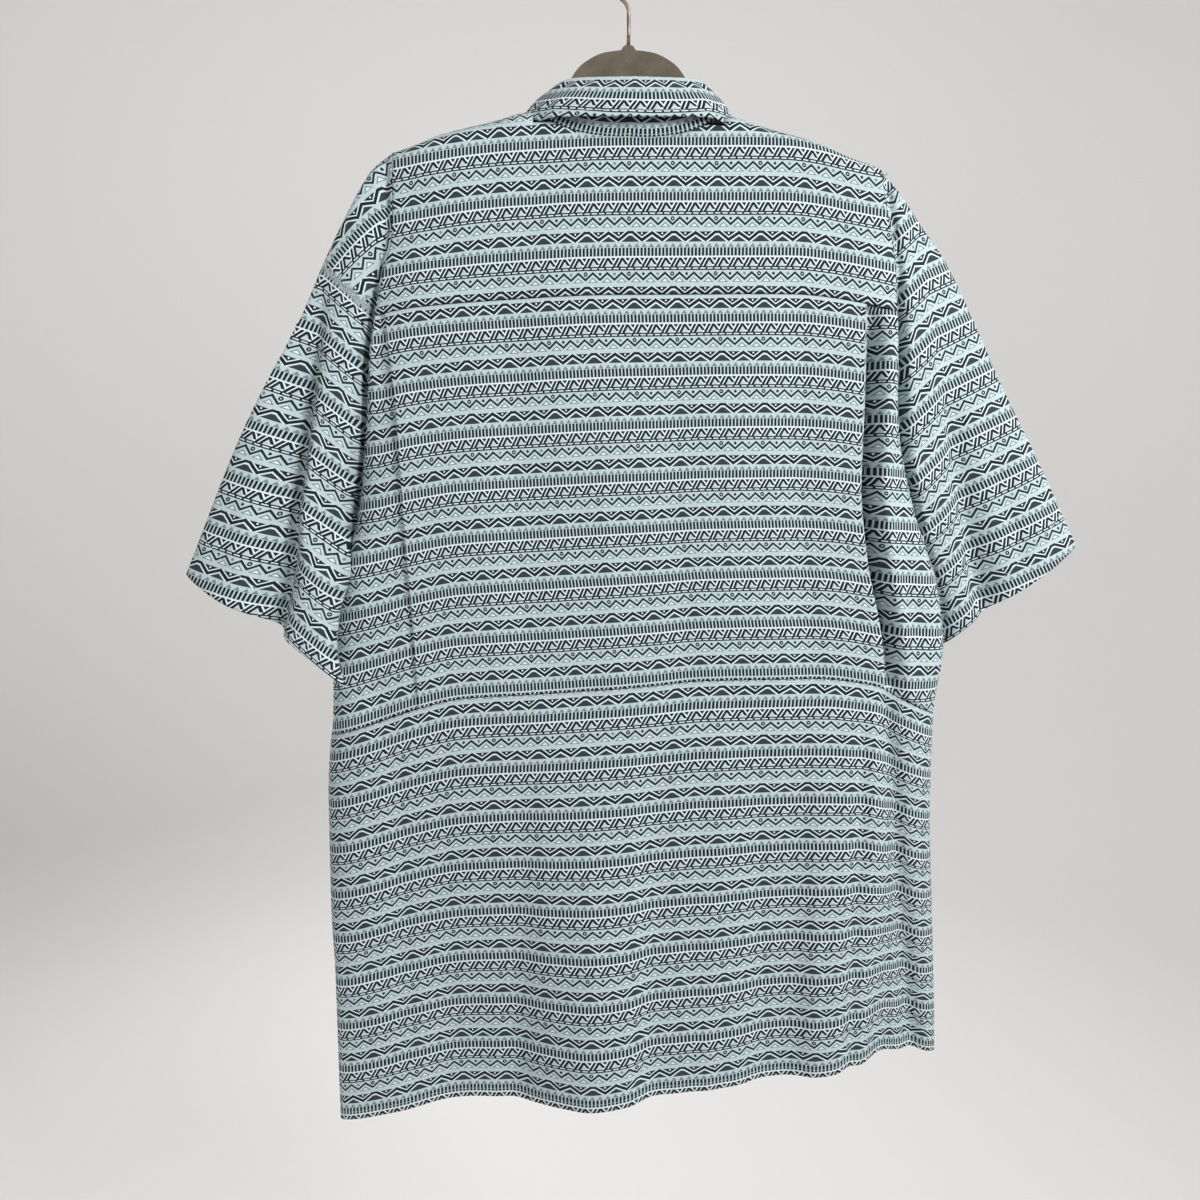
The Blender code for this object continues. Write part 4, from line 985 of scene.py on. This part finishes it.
def front_top(x):
    """Upper edge of a front: the neck seam near the middle, the yoke's front seam beyond it."""
    down = neck_front * math.sqrt(max(1 - (abs(x) / neck_half_width) ** 2, 0))
    return shoulder_drop(x) + max(down, yoke_front) + seam_gap / 2


def front_under(x):
    return (cloth_thickness + seam_gap * 2) * (1 - ease((x - placket_width * 0.6) / 0.02))


def front_bottom(x):
    return read(front_hem, "drop", x)


for side in ("left", "right"):
    sign = -1 if side == "left" else 1
    corner = neck_width_at(yoke_front)
    rules = [lambda drop, s=k / 24: mix(-sign * placket_width / 2, sign * corner, s) for k in range(25)]
    rules += [lambda drop, n=number_of: sign * outer_column(side, n, drop, corner)
              for number_of in range(1, 25)]
    rows = []
    for i in range(141):
        row = []
        for rule in rules:
            x, drop = settle(rule, front_top, front_bottom, i / 140)
            row.append(body_point(x, drop, 1, front_under(x) if side == "right" else 0.0))
        rows.append(row)
    across_cloth = lengths_along(rows[70])
    prints = [[(sign * across_cloth[j], p.z + 0.006) for j, p in enumerate(row)] for row in rows]
    seams = [[(front_top(p.x) * -1 - p.z, front_bottom(p.x) + p.z) for p in row] for row in rows]
    front = cloth_piece(f"printed_front_{side}", rows, prints, seams, (0, 1, 0))
    dress(front, f"front_{side}", printed_cotton(f"front cotton {side}", 0.5, 0.008))


# The sleeves are set in at the armholes and hang as flattened tubes, with a deep fold down each.
# Each cuff is a hem turned up 22 mm and stitched.
armpit_drop = 0.490
sleeve_columns = "along outer outer_drop inner inner_drop middle_depth half_depth"
sleeve_table = {
    "left": table(sleeve_columns, [
        (0.00, 0.1990, 0.1700, 0.2500, 0.4935, 0.000, 0.016),
        (0.08, 0.2165, 0.1850, 0.2550, 0.5040, -0.004, 0.017),
        (0.14, 0.2300, 0.2070, 0.2590, 0.5140, -0.009, 0.018),
        (0.28, 0.2555, 0.2560, 0.2665, 0.5400, -0.018, 0.018),
        (0.45, 0.2810, 0.3170, 0.2708, 0.5670, -0.028, 0.017),
        (0.62, 0.3085, 0.3730, 0.2712, 0.5910, -0.036, 0.016),
        (0.80, 0.3420, 0.4400, 0.2690, 0.6115, -0.041, 0.016),
        (1.00, 0.3805, 0.5260, 0.2630, 0.6300, -0.045, 0.016)]),
    "right": table(sleeve_columns, [
        (0.00, 0.2120, 0.1800, 0.2690, 0.4935, 0.000, 0.016),
        (0.08, 0.2305, 0.1980, 0.2750, 0.5040, 0.004, 0.017),
        (0.14, 0.2470, 0.2150, 0.2800, 0.5130, 0.009, 0.018),
        (0.28, 0.2820, 0.2540, 0.2890, 0.5320, 0.016, 0.019),
        (0.45, 0.3110, 0.3020, 0.2950, 0.5500, 0.022, 0.019),
        (0.62, 0.3420, 0.3620, 0.2990, 0.5680, 0.025, 0.018),
        (0.80, 0.3790, 0.4260, 0.3010, 0.5870, 0.026, 0.018),
        (1.00, 0.4215, 0.5060, 0.3020, 0.6050, 0.026, 0.018)])}
sleeve_creases = {
    "left": table(crease_columns, [
        (-0.260, 0.285, -0.304, 0.580, 0.011, 0.003, 0.007),
        (-0.225, 0.260, -0.245, 0.470, 0.012, 0.003, 0.005),
        (-0.300, 0.360, -0.350, 0.520, 0.010, 0.0006, 0.0022),
        (-0.240, 0.230, -0.275, 0.330, 0.012, 0.0008, 0.0016)]),
    "right": table(crease_columns, [
        (0.283, 0.370, 0.331, 0.560, 0.014, 0.003, 0.011),
        (0.238, 0.250, 0.262, 0.420, 0.012, 0.003, 0.005),
        (0.310, 0.350, 0.365, 0.520, 0.010, 0.0006, 0.0022),
        (0.255, 0.240, 0.285, 0.340, 0.012, 0.0008, 0.0016)])}
sleeve_blend = 0.35
cuff_lift = {"left": 0.018, "right": 0.008}
cuff_tuck = {"left": 0.0190, "right": 0.0}


def armhole_point(side, share, face):
    """A place on the armhole seam, from the shoulder (share 0) to the armpit (share 1)."""
    sign = -1 if side == "left" else 1
    drop = mix(shoulder_drop(sign * 0.205), armpit_drop, share)
    point = body_point(sign * read(edge_table, side, drop), drop, face)
    return point + Vector((sign, 0, -0.7 * ease((share - 0.78) / 0.15))).normalized() * 0.0006


def fold_line(side, drop):
    """Where the sleeve's deep fold runs."""
    line = sleeve_creases[side]
    return mix(line["x_top"][0], line["x_bottom"][0], (drop - line["drop_top"][0]) / (
        line["drop_bottom"][0] - line["drop_top"][0]))


def overlap_depth(side, x, drop):
    """The deep fold has one steep flank: the cloth nearer to the body lies over the outer part."""
    off = abs(x) - abs(fold_line(side, drop))
    spread = 0.024 if off > 0 else 0.006
    deepest = 0.022 if side == "left" else 0.005
    return deepest * math.exp(-(off / spread) ** 2) * ease((drop - 0.27) / 0.12)


def hung_point(side, along, turn, face):
    """A place on the hanging tube, from the armhole (along 0) to the cuff (along 1)."""
    sign = -1 if side == "left" else 1
    shape = sleeve_table[side]
    outer = Vector((sign * read(shape, "outer", along), 0, -read(shape, "outer_drop", along)))
    inner = Vector((sign * read(shape, "inner", along), 0, -read(shape, "inner_drop", along)))
    flat = outer.lerp(inner, (1 - math.cos(turn)) / 2)
    bulge = read(shape, "half_depth", along) * abs(math.sin(turn)) ** 0.8
    depth = read(shape, "middle_depth", along) + face * bulge
    if face < 0:
        depth += crease_depth(flat.x, -flat.z, sleeve_creases[side]) * abs(math.sin(turn)) ** 0.5
        depth += overlap_depth(side, flat.x, -flat.z) * abs(math.sin(turn)) ** 0.5
        low = (1 - math.cos(turn)) / 2
        from_seam = along * mix(0.40, 0.14, low)
        groove = math.exp(-((from_seam - 0.010) / 0.0075) ** 2) * ease(from_seam / 0.004)
        depth += (0.017 * groove * mix(0.35, 1.0, ease((low - 0.2) / 0.3))
                  * ease((1.0 - low) / 0.1) * ease(turn / 0.5))
    depth += rumple(flat.x, -flat.z, face) * 1.6 * abs(math.sin(turn))
    off_crease = (flat.x - sleeve_creases[side]["x_bottom"][0]) / 0.040
    tuck = (cuff_tuck[side] * math.exp(-((abs(flat.x) - 0.263) / 0.026) ** 2)
            * ease((-flat.z - 0.478) / 0.060))
    return Vector((flat.x - sign * tuck, depth - tuck * 0.6,
                   flat.z + cuff_lift[side] * along ** 2 * math.exp(-off_crease ** 2)))


for side in ("left", "right"):
    sign = -1 if side == "left" else 1
    ring_count, row_count = 200, 110
    rows = []
    for i in range(row_count + 1):
        along = i / row_count
        row = []
        for j in range(ring_count + 1):
            turn = 2 * math.pi * (j % ring_count) / ring_count
            face = -1 if j <= ring_count / 2 else 1
            sewn = armhole_point(side, (1 - math.cos(turn)) / 2, face)
            held = (sewn - hung_point(side, 0, turn, face)) * (1 - ease(along / sleeve_blend))
            row.append(hung_point(side, along, turn, face) + held)
        rows.append(row)
    thread_line = Vector((0.888, 0, sign * 0.46))
    slopes = {"left": (0.32, 0.78), "right": (0.42, 0.74)}[side]
    prints = []
    for row in rows:
        placed = []
        for j, p in enumerate(row):
            off = abs(p.x) - abs(fold_line(side, -p.z))
            fall = -p.z + off * slopes[0 if off > 0 else 1]
            fall = fall * 0.95 - 0.0151
            run = (p - rows[0][0]).dot(thread_line)
            if side == "left" and -p.z < 0.502 + 0.907 * p.x:
                from_top = -p.x - 0.200
                fall = (-p.z - 0.75 * from_top - 4.0 * from_top ** 2) * 0.74 - 0.0090
                run = (p - rows[0][0]).dot(Vector((0.77, 0, 0.64)))
            placed.append(((1 if j <= ring_count / 2 else -1) * run, -fall))
        prints.append(placed)
    seams = [[(0.26 * i / row_count, 0.26 * (1 - i / row_count)) for j in range(ring_count + 1)]
             for i in range(row_count + 1)]
    sleeve = cloth_piece(f"printed_sleeve_{side}", rows, prints, seams, (0, -1, 0))
    dress(sleeve, f"sleeve_{side}", printed_cotton(f"sleeve cotton {side}", 0.002, 0.020))


# The placket is a band of the same cloth down the edge of the left front, with the buttonholes in
# it. It lies on the front all the way down and is stitched along both of its edges.
placket_lift = cloth_thickness + seam_gap
rows = []
for i in range(161):
    row = []
    for k in range(17):
        x = mix(-placket_width / 2, placket_width / 2, k / 16)
        drop = mix(neck_front_drop(x) + 0.0016, read(front_hem, "drop", x) - 0.0005, i / 160)
        row.append(body_point(x, drop, 1, -placket_lift))
    rows.append(row)
prints = [[(-p.x + 0.01, p.z + 0.009) for p in row] for row in rows]
seams = [[(p.x + placket_width / 2, placket_width / 2 - p.x) for p in row] for row in rows]
placket = cloth_piece("printed_placket", rows, prints, seams, (0, 1, 0), thickness=0.0011)
dress(placket, "placket", printed_cotton("placket cotton", 0.004, 0.004))


# The collar stand is a band sewn to the neck seam. It rises inside the leaf and its ends lap at the
# front, where the top button holds them.
fold_table = table("angle half_width depth drop", [
    (0, 0.0570, -0.0150, 0.1135), (45, 0.0570, -0.0110, 0.1135), (90, 0.0580, 0.0020, 0.1140),
    (120, 0.0560, 0.0260, 0.1300), (150, 0.0530, 0.0560, 0.1650), (180, 0.0520, 0.0800, 0.1980)])
leaf_table = table("angle across depth drop", [
    (0, 0.000, -0.0310, 0.1490), (45, 0.064, -0.0260, 0.1478),
    (68, 0.0835, -0.0120, 0.1500), (90, 0.0890, 0.0040, 0.1400),
    (120, 0.0900, 0.0440, 0.1560), (150, 0.0780, 0.0840, 0.2080), (180, 0.0480, 0.1120, 0.2640)])
collar_centre = 0.005
leaf_inner_leg = 0.006
leaf_fold_radius = 0.0020
stand_overlap_angle = 9.0
stand_lap = 0.0030


def collar_frame(angle):
    """Neck seam and fold of the collar at one angle about the neck, negative on the left."""
    size = abs(angle)
    sign = -1 if angle < 0 else 1
    turn = math.radians(size)
    x = sign * neck_half_width * math.sin(turn)
    seam = body_point(x, neck_back_drop(x), -1) if size <= 90 else body_point(x, neck_front_drop(x), 1)
    shift = collar_centre * (1 + math.cos(turn)) / 2
    fold = Vector((sign * read(fold_table, "half_width", size) * math.sin(turn) + shift,
                   read(fold_table, "depth", size), -read(fold_table, "drop", size)))
    return seam, fold, Vector((sign * math.sin(turn), -math.cos(turn), 0))


angles = [-180 + 2.5 * k for k in range(145)]
angles = [-180 - stand_overlap_angle * k / 3 for k in (3, 2, 1)] + angles
angles += [180 + stand_overlap_angle * k / 3 for k in (1, 2, 3)]
rows = []
for i in range(13):
    row = []
    for angle in angles:
        seam, fold, outward = collar_frame(angle - math.copysign(360, angle) if abs(angle) > 180 else angle)
        rise = (fold - seam).normalized()
        low = seam + rise * (cloth_thickness * 0.5 + seam_gap)
        high = fold - rise * (leaf_inner_leg + seam_gap * 2)
        point = low.lerp(high, i / 12)
        if angle < 0:
            point += outward * stand_lap * ease((abs(angle) - 140) / 25)
        row.append(point)
    rows.append(row)
along_stand = lengths_along(rows[6])
up_stand = [lengths_along([row[j] for row in rows]) for j in range(len(angles))]
prints = [[(along_stand[j], up_stand[j][i] - 0.0203) for j in range(len(angles))] for i in range(13)]
seams = [[(up_stand[j][-1] - up_stand[j][i], up_stand[j][i]) for j in range(len(angles))] for i in range(13)]
stand = cloth_piece("printed_collar_stand", rows, prints, seams, (0, -1, 0), thickness=0.0011)
dress(stand, "collar_stand", printed_cotton("stand cotton", 0.5, 0.0016))


# The collar leaf is sewn to the top of the stand, turned down over the fold and pressed. A row of
# stitches runs round it, 5 mm in from its edge.
angles = [-172.5 + 2.5 * k for k in range(139)]
rows = [[] for _ in range(36)]
for angle in angles:
    seam, fold, outward = collar_frame(angle)
    size = abs(angle)
    sign = -1 if angle < 0 else 1
    rise = (fold - seam).normalized()
    across = (outward - rise * outward.dot(rise)).normalized()
    lap = outward * (stand_lap * ease((size - 140) / 25) if angle < 0 else 0)
    edge = Vector((sign * read(leaf_table, "across", size) + 0.2 * collar_centre,
                   read(leaf_table, "depth", size), -read(leaf_table, "drop", size)))
    if size < 110:
        edge.z = max(edge.z, 0.0014 - shoulder_drop(edge.x) - 0.014 * max(-edge.y / 0.02, 0.0))
    crest = fold + lap - rise * leaf_fold_radius
    start = fold - rise * leaf_inner_leg + lap
    path = [start.lerp(crest, k / 3) for k in range(3)]
    for k in range(9):
        turn = math.pi * k / 8
        path.append(crest + (across * (1 - math.cos(turn)) + rise * math.sin(turn)) * leaf_fold_radius)
    outer_top = crest + across * leaf_fold_radius * 2
    for k in range(1, 25):
        share = k / 24
        wavy = 0.0006 * noise.noise(Vector((angle * 0.06, share * 2.0, 1.7)))
        path.append(outer_top.lerp(edge, share) + outward * (0.003 * math.sin(math.pi * share) + wavy))
    for row, point in zip(rows, path):
        row.append(point)
along_leaf = lengths_along(rows[24])
down_leaf = [lengths_along([row[j] for row in rows]) for j in range(len(angles))]
top_row, outer_fall = rows[12], rows[12][69].z - rows[35][69].z
steepness = (down_leaf[69][35] - down_leaf[69][12]) / outer_fall
prints = []
for i, row in enumerate(rows):
    placed = []
    for j, p in enumerate(row):
        level = down_leaf[69][12] + (top_row[69].z - p.z) * steepness
        levelled = 0.35 * (1 - ease((abs(angles[j]) - 70) / 35)) * (i >= 12)
        placed.append((along_leaf[j], 0.0120 - mix(down_leaf[j][i], level, levelled)))
    prints.append(placed)
seams = [[(min(along_leaf[j], along_leaf[-1] - along_leaf[j]), down_leaf[j][-1] - down_leaf[j][i])
          for j in range(len(angles))] for i in range(36)]
leaf = cloth_piece("printed_collar_leaf", rows, prints, seams, (0, 1, 0), thickness=0.0011)
dress(leaf, "collar_leaf", printed_cotton("leaf cotton", 0.005, 0.005))


# The buttons are smoky grey moulded plastic with a raised rim and four holes, sewn through with
# crossed thread. One closes the stand and six close the placket, each in its stitched buttonhole.
button_radius = 0.0058
button_thickness = 0.0026
seam, fold, outward = collar_frame(-180)
button_places = [seam.lerp(fold, 0.45) + outward * (stand_lap + 0.0006 + seam_gap + 0.0002)
                 + Vector((0, 0.0008, 0))]
for drop in [0.290 + 0.110 * i for i in range(6)]:
    highest = max(body_depth(0, drop + step, 1) for step in (-button_radius, 0, button_radius))
    button_places.append(Vector((0, highest + cloth_thickness + seam_gap + 0.0006 + seam_gap, -drop)))

smoky = bpy.data.materials.new("smoky plastic")
smoky.use_nodes = True
tree = smoky.node_tree
shader = tree.nodes["Principled BSDF"]
shader.inputs["Coat Weight"].default_value = 0.4
shader.inputs["Coat Roughness"].default_value = 0.12
here = node_of(tree, "ShaderNodeTexCoord").outputs["Object"]
swirl = node_of(tree, "ShaderNodeTexWave", bands_direction="DIAGONAL")
swirl.inputs["Scale"].default_value = 60
swirl.inputs["Distortion"].default_value = 9
swirl.inputs["Detail"].default_value = 3
tree.links.new(here, swirl.inputs["Vector"])
tone = node_of(tree, "ShaderNodeValToRGB")
tone.color_ramp.elements[0].color = (0.10, 0.125, 0.14, 1)
tone.color_ramp.elements[1].color = (0.33, 0.38, 0.40, 1)
tree.links.new(swirl.outputs["Color"], tone.inputs["Fac"])
tree.links.new(tone.outputs["Color"], shader.inputs["Base Color"])
gloss = node_of(tree, "ShaderNodeMapRange")
gloss.inputs["To Min"].default_value = 0.22
gloss.inputs["To Max"].default_value = 0.36
tree.links.new(swirl.outputs["Fac"], gloss.inputs["Value"])
tree.links.new(gloss.outputs["Result"], shader.inputs["Roughness"])

thread_cotton = bpy.data.materials.new("button thread")
thread_cotton.use_nodes = True
tree = thread_cotton.node_tree
shader = tree.nodes["Principled BSDF"]
shader.inputs["Roughness"].default_value = 0.75
here = node_of(tree, "ShaderNodeTexCoord").outputs["Object"]
twist = node_of(tree, "ShaderNodeTexNoise")
twist.inputs["Scale"].default_value = 2600
tree.links.new(here, twist.inputs["Vector"])
tone = node_of(tree, "ShaderNodeValToRGB")
tone.color_ramp.elements[0].color = (0.20, 0.27, 0.29, 1)
tone.color_ramp.elements[1].color = (0.42, 0.52, 0.54, 1)
tree.links.new(twist.outputs["Fac"], tone.inputs["Fac"])
tree.links.new(tone.outputs["Color"], shader.inputs["Base Color"])
spun = node_of(tree, "ShaderNodeBump")
spun.inputs["Strength"].default_value = 0.5
spun.inputs["Distance"].default_value = 0.0001
tree.links.new(twist.outputs["Fac"], spun.inputs["Height"])
tree.links.new(spun.outputs["Normal"], shader.inputs["Normal"])

# one button, turned from a disc: the rim is raised round a dished middle, then the holes are cut
bpy.ops.object.select_all(action="DESELECT")
bpy.ops.mesh.primitive_cylinder_add(vertices=48, radius=button_radius, depth=button_thickness * 0.86)
master = bpy.context.object
bpy.ops.object.mode_set(mode="EDIT")
bpy.ops.mesh.select_mode(type="FACE")
bpy.ops.mesh.select_all(action="DESELECT")
bpy.ops.object.mode_set(mode="OBJECT")
for face in master.data.polygons:
    face.select = face.normal.z > 0.9
bpy.ops.object.mode_set(mode="EDIT")
bpy.ops.mesh.inset(thickness=button_radius * 0.16)
bpy.ops.transform.translate(value=(0, 0, button_thickness * 0.14))
bpy.ops.mesh.inset(thickness=button_radius * 0.18)
bpy.ops.mesh.inset(thickness=button_radius * 0.14)
bpy.ops.transform.translate(value=(0, 0, -button_thickness * 0.22))
bpy.ops.object.mode_set(mode="OBJECT")
bpy.ops.object.modifier_add(type="BEVEL")
soft_edge = master.modifiers["Bevel"]
soft_edge.width = 0.0003
soft_edge.segments = 3
soft_edge.limit_method = "ANGLE"
soft_edge.angle_limit = math.radians(25)
bpy.ops.object.modifier_apply(modifier="Bevel")
for spot_x, spot_y in ((1, 1), (1, -1), (-1, 1), (-1, -1)):
    bpy.ops.object.select_all(action="DESELECT")
    bpy.ops.mesh.primitive_cylinder_add(vertices=16, radius=0.00065, depth=0.01,
                                        location=(spot_x * 0.0011, spot_y * 0.0011, 0))
    drill = bpy.context.object
    bpy.context.view_layer.objects.active = master
    bpy.ops.object.modifier_add(type="BOOLEAN")
    hole = master.modifiers["Boolean"]
    hole.operation = "DIFFERENCE"
    hole.solver = "EXACT"
    hole.object = drill
    bpy.ops.object.modifier_apply(modifier="Boolean")
    bpy.data.objects.remove(drill)

for number_of, place in enumerate(button_places, 1):
    tilt = outward.to_track_quat("Z", "Y").to_matrix().to_4x4() if number_of == 1 else Vector(
        (0, 1, 0)).to_track_quat("Z", "Y").to_matrix().to_4x4()
    button = bpy.data.objects.new(f"smoky_button_{number_of}", master.data.copy())
    bpy.context.collection.objects.link(button)
    lift = Vector((0, 0, button_thickness * 0.43))
    for vertex in button.data.vertices:
        vertex.co = place + (tilt @ (vertex.co + lift))
    bpy.ops.object.select_all(action="DESELECT")
    button.select_set(True)
    bpy.context.view_layer.objects.active = button
    bpy.ops.object.shade_smooth_by_angle(angle=math.radians(35))
    button.data.materials.clear()
    button.data.materials.append(smoky)
    finished(button, f"button_{number_of}")
    strands = []
    for low, high in (((-1, -1), (1, 1)), ((-1, 1), (1, -1))):
        bpy.ops.object.select_all(action="DESELECT")
        bpy.ops.mesh.primitive_cylinder_add(vertices=8, radius=0.00032, depth=0.0032)
        strand = bpy.context.object
        direction = Vector((high[0] - low[0], high[1] - low[1], 0)).normalized()
        lie = direction.to_track_quat("Z", "Y").to_matrix().to_4x4()
        for vertex in strand.data.vertices:
            spot = lie @ vertex.co
            spot.z += button_thickness * 0.83 + 0.0002
            vertex.co = place + (tilt @ spot)
        strands.append(strand)
    for strand in strands:
        strand.select_set(True)
    bpy.ops.object.join()
    knot = bpy.context.object
    knot.name = f"button_thread_{number_of}"
    bpy.ops.object.shade_smooth()
    knot.data.materials.append(thread_cotton)
    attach(knot, "root")
bpy.data.objects.remove(master)

# a buttonhole under each placket button: a long loop of close stitches standing on the band
for number_of, place in enumerate(button_places[1:], 2):
    bpy.ops.object.select_all(action="DESELECT")
    bpy.ops.mesh.primitive_torus_add(major_radius=0.0016, minor_radius=0.0005, major_segments=40,
                                     minor_segments=8)
    hole = bpy.context.object
    hole.name = f"buttonhole_{number_of}"
    for vertex in hole.data.vertices:
        spot = Vector((vertex.co.x, vertex.co.y + (0.0065 if vertex.co.y > 0 else -0.0065), vertex.co.z))
        drop = -place.z - spot.y
        depth = body_depth(spot.x, drop, 1) + placket_lift + 0.00055 + spot.z * 0.5
        vertex.co = (spot.x, depth, -drop)
    bpy.ops.object.shade_smooth()
    hole.data.materials.clear()
    hole.data.materials.append(thread_cotton)
    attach(hole, "root")
